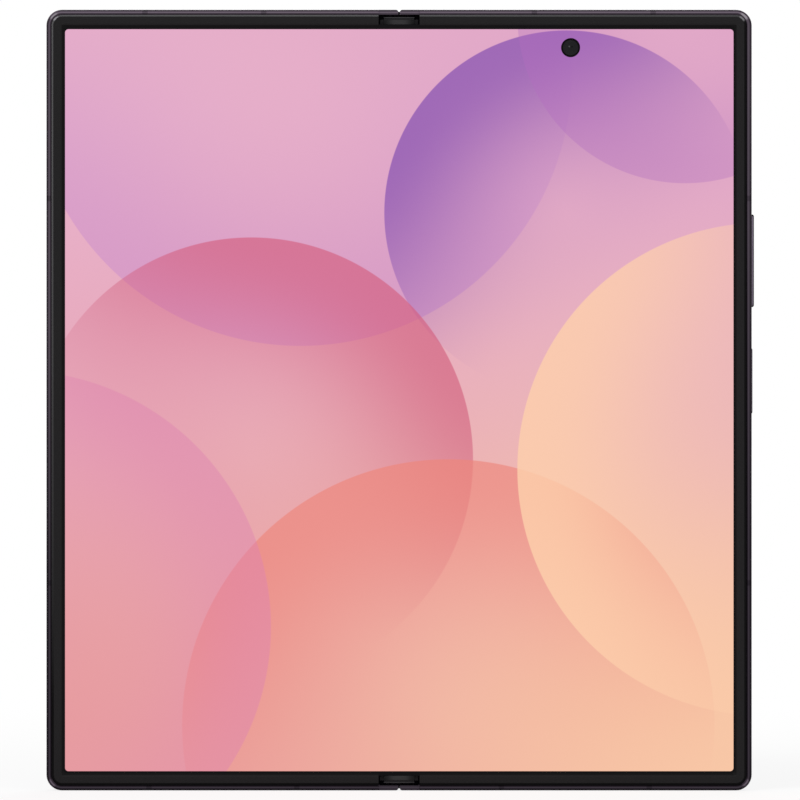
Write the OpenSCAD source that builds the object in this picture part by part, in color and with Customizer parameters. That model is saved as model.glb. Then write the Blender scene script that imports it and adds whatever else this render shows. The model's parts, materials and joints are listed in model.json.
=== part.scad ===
// Foldable smartphone, opened flat and standing upright with its inner screen towards -Y.
// Every piece is modelled lying on its back: x runs across from the fold line, y along the
// fold from mid-height, and z from the back plane up to the top of the rim round the screen.
// stand_up() raises the finished piece. The half with the rear cameras is the one at +x. The
// other half is modelled the same way round and then mirrored.

/* [Body] */
// Height of the body
body_h = 158.4; // [156:0.1:166]
// Width of one half, from the fold line to its outer edge
half_w = 71.55; // [71:0.05:78]
// Thickness of the open body, from the back plane to the top of the screen rim
body_t = 4.2; // [4.2:0.05:4.8]
// Radius of the body's corners, seen from the front
corner_r = 3.2; // [2.8:0.1:6]
// Thickness of the metal band round each half
wall_t = 1.0; // [0.9:0.05:1.1]
// Rounding of the band's long outer edges
edge_r = 0.35; // [0.1:0.05:0.5]
// How far the metal band stops below the top of the screen rim
band_drop = 0.2; // [0.1:0.05:0.4]
// Thickness of the plate behind the screen
mid_t = 0.4; // [0.3:0.05:0.5]
// Width of the ledge that carries the back glass
ledge_w = 0.9; // [0.6:0.05:1.2]
// Thickness of the ledge that carries the back glass
ledge_t = 0.5; // [0.3:0.05:0.5]
// Thickness of the glass on the back of each half
glass_t = 0.45; // [0.4:0.05:0.55]
// Gap round a piece of glass or a key
fit_gap = 0.05; // [0.03:0.01:0.08]
// Width of the plastic breaks in the metal band
break_w = 1.1; // [0.8:0.1:2]
// Distance of the inner break in the top edge from the fold line
top_break_in = 27.45; // [24:0.05:30]
// Distance of the outer break in the top edge from the fold line
top_break_out = 51.55; // [48:0.05:62]
// Distance of the inner break in the bottom edge from the fold line
bottom_break_in = 20.75; // [16:0.05:23]
// Distance of the outer break in the bottom edge from the fold line
bottom_break_out = 50.75; // [49:0.05:52]
// Height of the upper break in the outer edge above mid-height
side_break_up = 40.9; // [39.5:0.1:60]
// Depth of the lower break in the outer edge below mid-height
side_break_down = 37.1; // [10:0.1:60]

/* [Screen] */
// How far the rim stands above the screen
rim_raise = 0.35; // [0.25:0.05:0.4]
// Thickness of the flexible display panel
panel_t = 0.45; // [0.4:0.05:0.5]
// Thickness of the metal sheet behind the display panel
backing_t = 0.25; // [0.2:0.05:0.3]
// Width of the groove between the metal band and the rim
groove_w = 0.3; // [0.1:0.05:0.4]
// Width of the rim's raised part
rim_w = 1.6; // [1.4:0.1:1.8]
// Width of the rim's lip, which slopes down onto the screen
lip_w = 0.6; // [0.4:0.05:0.7]
// Height of the lip's thin inner edge above the screen
lip_edge = 0.05; // [0.03:0.01:0.1]
// Gap between the screen and the rim's raised part
panel_gap = 0.1; // [0.05:0.05:0.2]
// Radius of the screen's corners
screen_r = 0.7; // [0.5:0.1:1.2]
// Width of the part of the screen that bends
fold_w = 8.0; // [7.8:0.1:9]
// Distance from the fold line at which the rim starts
rim_start = 4.17; // [4.05:0.01:6]
// Diameter of the hole in the screen for the inner camera
punch_d = 3.76; // [3.6:0.02:4.4]
// Distance of the inner camera from the fold line
punch_x = 34.85; // [32:0.05:40]
// Distance of the inner camera below the top edge
punch_down = 7.63; // [7.2:0.01:8]
// Width of the slots in the bending part of the backing sheet
lattice_slot_w = 0.3; // [0.2:0.05:0.5]
// Length of the slots in the bending part of the backing sheet
lattice_slot_l = 9; // [5:0.5:10]
// Distance between neighbouring slots across the fold
lattice_pitch_x = 1.2; // [0.9:0.1:1.4]
// Distance between neighbouring slots along the fold
lattice_pitch_y = 12; // [11:0.5:15]

/* [Hinge] */
// Gap between the two rims when the phone is closed
closed_gap = 0.5; // [0.4:0.05:0.6]
// Gap between the two halves at the fold line
seam_gap = 0.3; // [0.25:0.05:0.4]
// Rounding of each half's corners at the fold line
seam_r = 0.5; // [0.3:0.05:0.8]
// How far the end walls drop below the rim beside the fold
fold_end_drop = 0.65; // [0.6:0.05:0.8]
// Thickness of each half's back wall over the hinge housing
hinge_back_t = 0.55; // [0.5:0.05:0.6]
// Thickness of each half's wall beside the hinge housing
hinge_side_t = 0.8; // [0.6:0.05:1]
// Clearance between the hinge housing and the two halves
housing_gap = 0.1; // [0.08:0.01:0.1]
// Wall thickness of the hinge housing
housing_t = 0.4; // [0.35:0.05:0.4]
// Gap between the hinge housing's ends and the end walls
housing_end_gap = 0.15; // [0.1:0.05:0.25]
// Distance of each hinge unit from mid-height
unit_y = 48; // [46:0.5:48]
// Length of the chamber in which a swing arm turns
chamber_l = 6; // [5.8:0.1:6.2]
// Length of the chamber that holds the synchronising gears
gear_chamber_l = 3; // [2.8:0.1:3.2]
// Length of the chamber that holds the friction clips
clip_chamber_l = 5; // [4.8:0.1:5.2]
// Thickness of the walls between the chambers
bearing_t = 1.0; // [0.9:0.05:1.1]
// Gap beside everything that turns in a chamber
side_gap = 0.1; // [0.05:0.01:0.12]
// Radius of the core on which an arm's curved tongue slides
core_r = 1.4; // [1.38:0.01:1.42]
// Running clearance between the tongue and its core
slide_gap = 0.05; // [0.04:0.01:0.06]
// Thickness of an arm's curved tongue
tongue_t = 0.6; // [0.5:0.02:0.6]
// Thickness of the arm and of its flange
arm_t = 0.45; // [0.4:0.01:0.5]
// Width of the arm's flange, from the housing outwards
flange_w = 6.6; // [6.2:0.1:7]
// How far the flange runs on beside the arm, on each side
flange_side = 3.6; // [3.4:0.1:3.8]
// Thickness of the frame's blocks under the arms' flanges
seat_t = 0.9; // [0.8:0.05:0.95]
// How far those blocks reach beyond the flanges
seat_margin = 0.6; // [0.4:0.05:0.7]
// Thickness of the tongue's backing behind its teeth
tongue_back_t = 0.4; // [0.3:0.02:0.4]
// Thickness of the plates that carry the screen beside the fold
wing_t = 0.2; // [0.15:0.01:0.22]
// Width of the wing plate, measured from the fold line
wing_w = 12; // [11.8:0.1:12.5]
// Gap between the wing plate and the arms below it
wing_gap = 0.05; // [0.03:0.01:0.06]
// Gap between the ends of the wing plates and the ends of the screen
wing_end_gap = 0.1; // [0.05:0.05:0.3]
// Height of the open chambers' floor above the back plane
bracket_floor = 1.35; // [1.3:0.05:1.4]
// Radius of the gear shafts
shaft_r = 0.25; // [0.24:0.01:0.26]
// Running clearance of the gear shafts in their bearings
shaft_gap = 0.03; // [0.02:0.01:0.04]
// Length of the shafts' ends in their bearings
shaft_seat = 0.5; // [0.4:0.05:0.6]
// Room beyond the shafts' ends
shaft_end_gap = 0.1; // [0.05:0.05:0.2]
// Outer radius of a friction clip
clip_r = 0.55; // [0.5:0.01:0.6]
// Width of a friction clip's foot
clip_foot_w = 0.4; // [0.3:0.05:0.5]
// Number of friction clips on each shaft
clip_count = 4;
// Width of a friction clip along its shaft
clip_w = 0.6; // [0.5:0.05:0.8]
// Width of the soft cap over each end of the fold
cap_w = 6.2; // [5.8:0.1:6.6]
// Length of the cap along the fold
cap_l = 1.55; // [1.3:0.05:1.6]
// How far the cap stands above the screen
cap_raise = 0.1; // [0.05:0.05:0.25]
// Gap between the cap and the end wall
cap_end_gap = 0.35; // [0.3:0.05:0.4]
// Thickness of the flat cables that cross the hinge
flex_t = 0.12; // [0.1:0.01:0.14]
// Width of the flat cables that cross the hinge
flex_w = 8; // [6:0.5:9]
// Reach of the flat cables to each side of the fold line
flex_reach = 9; // [7:0.5:10]
// Distance of the flat cables from mid-height
flex_y = 24; // [22:0.5:26]
// Distance of the flat cables' front from the back of the screen's plate
flex_drop = 0.08; // [0.06:0.01:0.1]
// Room round the flat cables in their slots
flex_gap = 0.3; // [0.2:0.05:0.4]
// Radius of a hinge screw's head
screw_head_r = 0.8; // [0.7:0.05:0.85]
// Radius of a hinge screw's shank
screw_shank_r = 0.4; // [0.35:0.05:0.45]
// Height of a hinge screw's head
screw_head_t = 0.28; // [0.2:0.01:0.28]
// Depth of a hinge screw's shank in the frame
screw_grip = 0.7; // [0.5:0.05:0.7]

/* [Gears] */
// Tooth module of the curved racks and the pinions that they turn
rack_module = 0.1; // [0.09:0.005:0.1]
// Teeth of a full circle of the curved rack
rack_teeth = 28;
// Teeth of a pinion
pinion_teeth = 8;
// Teeth of each synchronising gear
sync_teeth = 10;
// Direction of the pinion from its arm's axis, in degrees below the screen plane
pinion_angle = 70; // [69:0.5:71]
// Pressure angle of all the teeth
pressure_angle = 25; // [24:0.5:26]
// Play taken off the width of each tooth
tooth_play = 0.035; // [0.03:0.005:0.04]

/* [Rear cameras] */
// Width of the camera island
island_w = 18.4; // [18:0.1:19]
// Length of the camera island
island_l = 56; // [54:0.5:58]
// Distance of the island's long centre line from the outer edge
island_in = 13.85; // [13.6:0.05:14]
// Distance of the island's upper end from the top edge
island_down = 5.2; // [4.8:0.1:6]
// Height of the island above the back plane
island_raise = 1.3; // [1.1:0.1:1.5]
// Rounding of the island's edge
island_edge_r = 0.5; // [0.2:0.1:0.7]
// Width of the flange that holds the island behind the glass
island_flange_w = 1.0; // [0.8:0.1:1.1]
// Thickness of the flange that holds the island behind the glass
island_flange_t = 0.3; // [0.25:0.05:0.35]
// Height of the lens rings above the back plane
ring_raise = 2.4; // [2.1:0.1:2.6]
// Outer radius of the lens rings
ring_r = 7.1; // [6.8:0.1:7.4]
// Width of the lens rings' front face
ring_face_w = 1.6; // [1.2:0.1:1.8]
// Thickness of the lens glasses
lens_glass_t = 0.45; // [0.3:0.05:0.5]
// Depth of the lens glasses below the front of their rings
lens_sink = 0.15; // [0.1:0.05:0.3]
// Distance between neighbouring cameras
camera_pitch = 18.4; // [18:0.1:18.6]
// Radius of the wide camera's barrel
wide_barrel_r = 4.8; // [4.4:0.1:4.8]
// Radius of the ultrawide camera's barrel
ultrawide_barrel_r = 4.2; // [3.6:0.1:4.8]
// Radius of the telephoto camera's barrel
tele_barrel_r = 4.5; // [4:0.1:4.8]
// Side of the square body of a rear camera
camera_body = 12.5; // [11.5:0.5:14]
// Rounding of the lens rings' outer edge
ring_edge_r = 0.25; // [0.1:0.05:0.3]
// Gap between the wide camera's barrel and its bore in the island
bore_gap = 0.5; // [0.3:0.05:0.6]
// Distance of a camera barrel's front from the lens glass
barrel_gap = 0.1; // [0.05:0.05:0.2]
// Radius of the flash lens
flash_r = 1.95; // [1.6:0.05:2.2]
// Distance of the flash lens from the island's long centre line
flash_side = 14; // [13:0.5:14.5]
// Distance of the flash lens below the island's upper end
flash_down = 12; // [11:0.5:18]

/* [Keys] */
// Length of the volume key
volume_l = 18.9; // [17:0.1:20]
// Height of the volume key's middle above mid-height
volume_y = 28.3; // [27.5:0.1:29]
// How far the volume key stands out
volume_out = 0.52; // [0.3:0.02:0.7]
// Length of the side key
side_key_l = 13.3; // [12:0.1:14]
// Height of the side key's middle above mid-height
side_key_y = 3.9; // [3:0.1:4.5]
// How far the side key stands out
side_key_out = 0.22; // [0.21:0.01:0.4]
// Width of both keys
key_w = 1.5; // [1.4:0.05:1.5]
// Length of the retaining lip beyond each end of a key
key_lip = 0.5; // [0.3:0.1:0.8]
// Depth of the space behind the band that a key's retaining lip lies in
key_lip_t = 0.5; // [0.4:0.05:0.6]
// Gap in front of the volume key's lips, in which the key rocks
rock_gap = 0.22; // [0.2:0.01:0.25]
// Angle by which the volume key rocks to each side
rock_angle = 1; // [0.8:0.1:1]
// Radius of the rounded rib on which the volume key rocks
rock_rib_r = 0.4; // [0.3:0.05:0.45]
// Room beside and behind the keys' lips
key_room = 1.0; // [0.8:0.05:1.2]
// Height of the pips that press the switches
key_pip = 0.3; // [0.2:0.05:0.35]
// Radius of the pips that press the switches
key_pip_r = 0.5; // [0.4:0.05:0.6]
// Travel of the side key
key_travel = 0.2; // [0.15:0.01:0.22]
// Gap between the middle of a key and the back of the screen's plate
key_drop = 0.8; // [0.78:0.01:0.85]
// Distance of the switch bar from the retaining lips
switch_room = 1.3; // [1.2:0.05:1.4]
// Thickness of the bar that backs the switches
switch_bar_t = 0.5; // [0.4:0.05:0.6]
// Thickness of the flexible strip that carries the switches
switch_strip_t = 0.15; // [0.1:0.01:0.2]
// Radius of the switches' domes
dome_r = 0.6; // [0.5:0.05:0.65]
// Gap between a switch and the key when the key is fully pressed
dome_gap = 0.05; // [0.03:0.01:0.1]

/* [Camera half electronics] */
// Width of the space kept free beside the hinge flanges
bay_margin = 1.0; // [0.8:0.1:1.2]
// Gap between the ledge at the top or bottom edge and the pieces beside it
bay_end_gap = 0.3; // [0.2:0.05:0.5]
// Distance of the batteries and boards from the space beside the hinge flanges
pack_gap = 0.5; // [0.3:0.05:0.8]
// Rounding of the batteries' corners
pack_r = 0.8; // [0.5:0.1:1.5]
// Thickness of the heat spreader behind the screen's plate
spreader_t = 0.25; // [0.2:0.05:0.3]
// Thickness of the logic board
board_t = 0.6; // [0.5:0.05:0.6]
// Height of the shielding cans
can_t = 0.7; // [0.6:0.05:0.7]
// Wall thickness of the shielding cans
can_wall = 0.15; // [0.1:0.01:0.2]
// Distance of the shielding cans from the board's edges
can_margin = 1.5; // [1.2:0.1:1.8]
// Gap between neighbouring shielding cans
can_space = 2.5; // [1.5:0.1:3]
// Width of the shielding can at the board's lower inner corner
inner_can_w = 13.5; // [12:0.5:15]
// Length of the two lower shielding cans
lower_can_l = 20; // [18:0.5:20.5]
// Length of the upper shielding can
upper_can_l = 18; // [15:0.5:18.5]
// Gap between the logic board and the rear cameras
board_gap = 4.95; // [4:0.05:6]
// Distance of the logic board's inner edge from the battery's inner edge
board_shift = 0.5; // [0:0.1:1]
// Length of the logic board
board_l = 58; // [54:0.5:58]
// Distance of the logic board's upper edge from the top edge
board_down = 3.2; // [3:0.1:4]
// Gap between the battery in the camera half and the bar behind the keys
battery_side_gap = 2.25; // [1.5:0.05:5]
// Gap between that battery and what lies above it
battery_top_gap = 5.2; // [3:0.1:9]
// Thickness of the battery in the camera half
main_battery_t = 2.05; // [1.9:0.05:2.05]
// Distance of that battery's lower edge from the bottom edge
main_battery_up = 30; // [29:0.5:30]
// Outer radius of the charging coil
coil_r = 21; // [18:0.5:24]
// Inner radius of the charging coil
coil_hole_r = 9; // [7:0.5:12]
// Thickness of the charging coil
coil_t = 0.2; // [0.15:0.01:0.22]
// Width of the inner camera's square body
inner_camera_w = 6.6; // [6:0.1:7]
// Depth of the inner camera's body behind the screen's plate
inner_camera_d = 1.9; // [1.6:0.1:2]
// Thickness of the inner camera's window
inner_window_t = 0.25; // [0.2:0.05:0.3]
// Width of the vibration motor
motor_w = 10; // [9:0.5:11]
// Length of the vibration motor
motor_l = 9; // [8:0.5:10]
// Thickness of the vibration motor
motor_t = 2.0; // [1.8:0.1:2]
// Gap between the loudspeaker box and the small board behind the USB port
speaker_gap = 2.95; // [2:0.05:4]
// Gap between the loudspeaker box and the ledge at the outer edge
speaker_side_gap = 2.9; // [2:0.1:4]
// Length of the loudspeaker box
speaker_l = 19; // [16:0.5:20]
// Thickness of the loudspeaker box
speaker_t = 1.75; // [1.6:0.05:1.75]
// Distance of the first sound hole from the break beside it
sound_hole_start = 2.4; // [1.8:0.1:3]
// Radius of the sound holes in the bottom edge
sound_hole_r = 0.45; // [0.35:0.05:0.5]
// Distance between the sound holes
sound_hole_pitch = 1.7; // [1.4:0.1:1.7]
// Number of sound holes
sound_holes = 4;

/* [USB port] */
// Distance of the USB port from the fold line
usb_x = 35.8; // [35:0.1:37]
// Width of the port's opening
usb_w = 8.34; // [8.3:0.01:8.4]
// Height of the port's opening
usb_h = 2.56; // [2.5:0.01:2.56]
// Wall thickness of the port's shell
usb_wall = 0.15; // [0.1:0.01:0.16]
// Depth of the port
usb_depth = 6.6; // [6.2:0.1:7]
// Width of the port's tongue
usb_tongue_w = 6.69; // [6.5:0.01:6.8]
// Thickness of the port's tongue
usb_tongue_t = 0.7; // [0.6:0.02:0.76]
// Length of the port's tongue
usb_tongue_l = 4.45; // [4:0.05:5]
// Distance of the port's mouth behind the bottom edge
usb_sink = 0.1; // [0.05:0.05:0.2]
// Gap between the port's shell and the glass behind it
usb_glass_gap = 0.02; // [0.01:0.01:0.03]
// Width of the small board behind the port
usb_board_w = 18; // [16:0.5:19]
// Length of the small board behind the port
usb_board_l = 12; // [8:0.5:13]
// Thickness of the small board behind the port
usb_board_t = 0.8; // [0.6:0.1:1]

/* [Cover half electronics] */
// Thickness of the cover screen's panel
cover_panel_t = 0.5; // [0.4:0.05:0.5]
// Gap round the cover screen's panel
cover_panel_gap = 0.2; // [0.1:0.05:0.3]
// Radius of the cover camera's barrel
cover_camera_r = 1.9; // [1.6:0.05:2.1]
// Distance of the cover camera from the fold line
cover_camera_x = 36; // [34:0.5:38]
// Distance of the cover camera below the top edge
cover_camera_down = 7.0; // [6.6:0.1:7.2]
// Width of the cover camera's square body
cover_camera_w = 6.4; // [6:0.1:7]
// Gap between the band at the outer edge and the cover half's board and battery
cover_side_gap = 4.55; // [3:0.05:6]
// Thickness of the cover half's board
cover_board_t = 0.5; // [0.4:0.05:0.5]
// Length of the cover half's board
cover_board_l = 24; // [20:0.5:24]
// Distance of the cover half's board from the top edge
cover_board_down = 3.4; // [3:0.1:4]
// Gap between that board and the camera or earpiece in its notches
notch_gap = 0.5; // [0.3:0.05:0.8]
// Height of the shielding can on that board
cover_can_t = 1.0; // [0.9:0.05:1.05]
// Distance of that can from the board's edges
cover_can_margin = 2.5; // [2:0.1:3]
// Gap between the battery in the cover half and that board
cover_battery_gap = 15; // [10:0.5:20]
// Thickness of the battery in the cover half
cover_battery_t = 1.7; // [1.5:0.05:1.75]
// Distance of that battery's lower edge from the bottom edge
cover_battery_up = 34; // [30:0.5:40]
// Distance of the earpiece from the fold line
earpiece_x = 46; // [45:0.5:46]
// Width of the earpiece speaker
earpiece_w = 8; // [7:0.5:8]
// Length of the earpiece speaker
earpiece_l = 6; // [5:0.5:7]
// Thickness of the earpiece speaker
earpiece_t = 1.6; // [1.4:0.05:1.7]
// Width of the earpiece's slot in the top edge
earpiece_slot_w = 6; // [4:0.5:7]
// Height of the earpiece's slot in the top edge
earpiece_slot_h = 0.7; // [0.5:0.05:0.8]
// Distance of the card tray from the fold line
tray_x = 35.5; // [35:0.5:36]
// Width of the card tray's face
tray_face_w = 15.4; // [15:0.1:15.8]
// Height of the card tray's face
tray_face_h = 1.3; // [1.2:0.05:1.35]
// Width of the card tray behind its face
tray_w = 13; // [12.6:0.1:13.4]
// Length of the card tray behind its face
tray_l = 16; // [14:0.5:18]
// Thickness of the card tray
tray_t = 0.8; // [0.7:0.05:0.85]
// Width of the card's pocket in the tray
card_w = 12.3; // [12:0.1:12.4]
// Length of the card's pocket in the tray
card_l = 8.8; // [8:0.1:9.5]
// Depth of the card's pocket
card_sink = 0.65; // [0.5:0.05:0.7]
// Width of the tray's end beyond the card's pocket, and of the ledge round its floor
card_ledge = 1; // [0.8:0.1:1.2]
// Running clearance of the card tray
tray_gap = 0.1; // [0.08:0.01:0.12]
// Wall thickness of the card socket
socket_t = 0.25; // [0.2:0.05:0.3]
// Radius of the hole for the tray's release pin
pin_hole_r = 0.4; // [0.3:0.05:0.45]
// Distance of that hole from the end of the tray's face
pin_hole_gap = 0.25; // [0.2:0.05:0.4]

/* [Hidden] */
$fn = 64;
tiny = 0.01;
far = 400;
top_y = body_h / 2;
// Heights above the back plane, from the top down
band_top = body_t - band_drop;
screen_top = body_t - rim_raise;
panel_z = screen_top - panel_t;
plate_z = panel_z - backing_t;
mid_z = plate_z - mid_t;
fold_end_top = body_t - fold_end_drop;
ledge_top = glass_t + ledge_t;
// The hinge axes lie in the plane that carries the screen
axis_z = plate_z;
axis_x = body_t - axis_z + closed_gap / 2;
housing_r = axis_z - hinge_back_t - housing_gap;
housing_in_r = housing_r - housing_t;
pocket_r = housing_r + housing_gap;
pocket_x = axis_x + pocket_r;
hinge_side_x = pocket_x + hinge_side_t;
pocket_y = top_y - wall_t;
housing_y = pocket_y - housing_end_gap;
seam_x = seam_gap / 2;
// Wing plates, arms and the tops of the pieces in the housing
wing_z = plate_z - wing_t;
arm_top = wing_z - wing_gap;
arm_z = arm_top - arm_t;
head_z = arm_top - screw_head_t - tiny;
flex_z = mid_z - flex_drop - flex_t;
flange_x = pocket_x + flange_w;
wing_in_x = axis_x + wing_gap;
// Hinge units, measured along the fold from each unit's middle
gear_wall_y = gear_chamber_l / 2 + bearing_t;
chamber_end_y = gear_wall_y + chamber_l;
clip_y = chamber_end_y + bearing_t;
clip_end_y = clip_y + clip_chamber_l;
unit_half_l = clip_end_y + bearing_t;
core_l = chamber_l / 2;
rack_l = core_l - 2 * side_gap;
tongue_in_r = core_r + slide_gap;
tongue_out_r = tongue_in_r + tongue_t;
tongue_start = -165;
tongue_stop = -asin((axis_z - arm_top) / tongue_in_r);
rack_r = rack_module * rack_teeth / 2;
pinion_r = rack_module * pinion_teeth / 2;
addendum = 0.8;
dedendum = 1.2;
shaft_x = axis_x + (rack_r - pinion_r) * cos(pinion_angle);
shaft_z = axis_z - (rack_r - pinion_r) * sin(pinion_angle);
sync_r = shaft_x / 3;
sync_module = 2 * sync_r / sync_teeth;
// Screen and rim outlines, as distances in from the body's edge
rim_out = wall_t + groove_w;
rim_in = rim_out + rim_w;
lip_in = rim_in + lip_w;
panel_edge = rim_in + panel_gap;
wing_y = top_y - panel_edge - wing_end_gap;
punch_y = top_y - punch_down;
// Space for the electronics
glass_x = hinge_side_x + fit_gap;
ledge_in = wall_t + ledge_w;
bay_x = flange_x + bay_margin;
bay_top_y = top_y - ledge_in - bay_end_gap;
pack_x = bay_x + pack_gap;
island_x = half_w - island_in;
island_y = top_y - island_down - island_l / 2;
island_bore_r = wide_barrel_r + bore_gap;
key_z = mid_z - key_drop;
lip_x = half_w - wall_t - key_lip_t;
switch_x = lip_x - switch_room;
board_x = pack_x + board_shift;
board_w = island_x - camera_body / 2 - board_gap - board_x;
board_top_y = top_y - board_down;
outer_can_w = board_w - 2 * can_margin - inner_can_w - can_space;
upper_can_y = can_margin + lower_can_l + can_space;
can_top = mid_z - spreader_t;
board_top = can_top - can_t;
main_battery_w = switch_x - switch_bar_t - battery_side_gap - pack_x;
main_battery_top = top_y - battery_top_gap
    - max(board_down + board_l, island_down + island_l / 2 + camera_pitch + camera_body / 2);
main_battery_l = main_battery_top + top_y - main_battery_up;
main_battery_x = pack_x + main_battery_w / 2;
main_battery_y = main_battery_top - main_battery_l / 2;
usb_z = glass_t + usb_wall + usb_h / 2 + usb_glass_gap;
usb_y = usb_depth - top_y;
speaker_x0 = usb_x + usb_board_w / 2 + speaker_gap;
speaker_x1 = half_w - ledge_in - speaker_side_gap;
cover_camera_y = top_y - cover_camera_down;
cover_board_top = top_y - cover_board_down;
cover_board_low = cover_board_top - cover_board_l;
cover_pack_w = half_w - wall_t - cover_side_gap - pack_x;
cover_battery_l = cover_board_low - cover_battery_gap + top_y - cover_battery_up;
cover_battery_y = cover_battery_up + cover_battery_l / 2 - top_y;
cover_panel_top = glass_t + cover_panel_t;
tray_z = mid_z - socket_t - tray_gap - tray_t / 2;

// Raises a piece that lies on its back, so that it stands on the body's bottom edge
module stand_up() {
    translate([0, (body_t - ring_raise) / 2, top_y]) rotate([90, 0, 0]) children();
}

// Extrudes a shape drawn in x and z along the fold, from y0 to y1
module along_fold(y0, y1) {
    translate([0, y1, 0]) rotate([90, 0, 0]) linear_extrude(y1 - y0) children();
}

// A block between two corners
module block(low, high) {
    translate(low) cube(high - low);
}

// A plate with rounded corners, centred at x and y, from z0 to z1
module rounded_block(x, y, w, l, z0, z1, r) {
    translate([x, y, z0]) linear_extrude(z1 - z0) {
        square([w - 2 * r, l], center = true);
        square([w, l - 2 * r], center = true);
        for (sx = [-1, 1], sy = [-1, 1]) {
            translate([sx * (w / 2 - r), sy * (l / 2 - r)]) circle(r);
        }
    }
}

// One half's outline from x0 to the body's edge less an inset, with round outer corners
module half_outline(x0, inset, r) {
    x1 = half_w - inset;
    y1 = top_y - inset;
    translate([x0, -y1]) square([x1 - r - x0, 2 * y1]);
    translate([x1 - r - tiny, -y1 + r]) square([r + tiny, 2 * (y1 - r)]);
    for (side = [-1, 1]) {
        translate([x1 - r, side * (y1 - r)]) circle(r);
    }
}

// Section through the metal band, with its outer face at x = corner_r
module band_section() {
    x0 = corner_r - wall_t;
    translate([x0, 0]) square([wall_t - edge_r, band_top]);
    translate([x0, edge_r]) square([wall_t, band_top - 2 * edge_r]);
    for (z = [edge_r, band_top - edge_r]) {
        translate([corner_r - edge_r, z]) circle(edge_r);
    }
}

// The metal band round one half, from the fold line round the outer edge and back
module band() {
    cx = half_w - corner_r;
    cy = top_y - corner_r;
    translate([cx, 0, 0]) along_fold(-cy, cy) band_section();
    for (side = [0, 1]) {
        mirror([0, side, 0]) {
            translate([seam_x, cy, 0]) rotate([90, 0, 90]) linear_extrude(cx - seam_x) band_section();
            translate([cx, cy, 0]) rotate_extrude(angle = 90) band_section();
        }
    }
}

// Space that the hinge housing turns in, beside the fold line
module hinge_pocket() {
    along_fold(-pocket_y, pocket_y) {
        translate([axis_x, axis_z]) circle(pocket_r);
        translate([-tiny, axis_z - pocket_r]) square([axis_x + tiny, far]);
        translate([-tiny, axis_z]) square([pocket_x + tiny, far]);
    }
}

// Runs its children once for each hinge unit
module at_units() {
    for (side = [-1, 1]) {
        translate([0, side * unit_y, 0]) children();
    }
}

// Span of the swing arm of the +x half along the fold, in a unit
arm_y0 = -chamber_end_y + side_gap;
arm_y1 = -gear_wall_y - side_gap;

// Blocks that carry the flanges of the swing arms
module arm_seats() {
    at_units() block([pocket_x, arm_y0 - flange_side - seat_margin, arm_z - seat_t],
                     [flange_x + seat_margin, arm_y1 + flange_side + seat_margin, arm_z]);
}

// Recesses above those blocks
module arm_recesses(gap) {
    at_units() block([pocket_x - 1, arm_y0 - flange_side - gap, arm_z],
                     [flange_x + gap, arm_y1 + flange_side + gap, body_t]);
}

// Places of the screws in the arms' flanges
module at_arm_screws() {
    at_units() {
        for (y = [arm_y0 - flange_side / 2, arm_y1 + flange_side / 2]) {
            translate([pocket_x + flange_w / 2, y, 0]) children();
        }
    }
}

// Everything that both halves' frames have, for the half at +x.
// The cover half's arms sit the other way round along the fold, so it turns them over.
module half_frame(turn_arms) {
    difference() {
        union() {
            band();
            translate([0, 0, mid_z]) linear_extrude(mid_t) half_outline(pocket_x, wall_t / 2, corner_r - wall_t / 2);
            block([seam_x, -pocket_y - tiny, 0], [hinge_side_x, pocket_y + tiny, plate_z]);
            translate([0, 0, glass_t]) linear_extrude(ledge_t) difference() {
                half_outline(pocket_x, wall_t / 2, corner_r - wall_t / 2);
                half_outline(hinge_side_x + ledge_w, ledge_in, corner_r - wall_t);
            }
            mirror([0, turn_arms, 0]) arm_seats();
        }
        hinge_pocket();
        // Glass recess
        translate([0, 0, -tiny]) linear_extrude(glass_t + tiny) half_outline(hinge_side_x, wall_t, corner_r - wall_t);
        // Low end walls beside the fold, round at the seam
        for (side = [0, 1]) {
            mirror([0, side, 0]) {
                block([-tiny, pocket_y - 1, fold_end_top], [rim_start, top_y + 1, body_t]);
                translate([seam_x, top_y - seam_r, -tiny]) linear_extrude(body_t) difference() {
                    translate([-tiny, 0]) square([seam_r + tiny, seam_r + tiny]);
                    translate([seam_r, 0]) circle(seam_r);
                }
            }
        }
        // Recess for the wing plate
        block([pocket_x - 1, -wing_y - fit_gap, wing_z], [wing_w + fit_gap, wing_y + fit_gap, body_t]);
        mirror([0, turn_arms, 0]) {
            arm_recesses(fit_gap);
            at_arm_screws() translate([0, 0, arm_z - screw_grip - 0.1]) cylinder(r = screw_shank_r, h = far);
        }
        // Slots through which the flat cables leave the hinge
        for (side = [-1, 1]) {
            block([pocket_x - 1, side * flex_y - flex_w / 2 - flex_gap, flex_z - fit_gap],
                  [hinge_side_x + 1, side * flex_y + flex_w / 2 + flex_gap, mid_z - tiny]);
        }
        antenna_breaks(tiny);
    }
}

// Plastic breaks in the metal band of the half at +x; grow lets them cut the band
module antenna_breaks(grow) {
    y_in = top_y - wall_t;
    for (x = [top_break_in, top_break_out]) {
        block([x - break_w / 2, y_in, -grow], [x + break_w / 2, top_y + grow, band_top + grow]);
    }
    for (x = [bottom_break_in, bottom_break_out]) {
        block([x - break_w / 2, -top_y - grow, -grow], [x + break_w / 2, -y_in, band_top + grow]);
    }
    for (y = [side_break_up, -side_break_down]) {
        block([half_w - wall_t, y - break_w / 2, -grow], [half_w + grow, y + break_w / 2, band_top + grow]);
    }
}

// The breaks as pieces, with the same rounded edges as the band that they fill
module antenna_pieces() {
    intersection() {
        band();
        antenna_breaks(tiny);
    }
}

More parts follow.
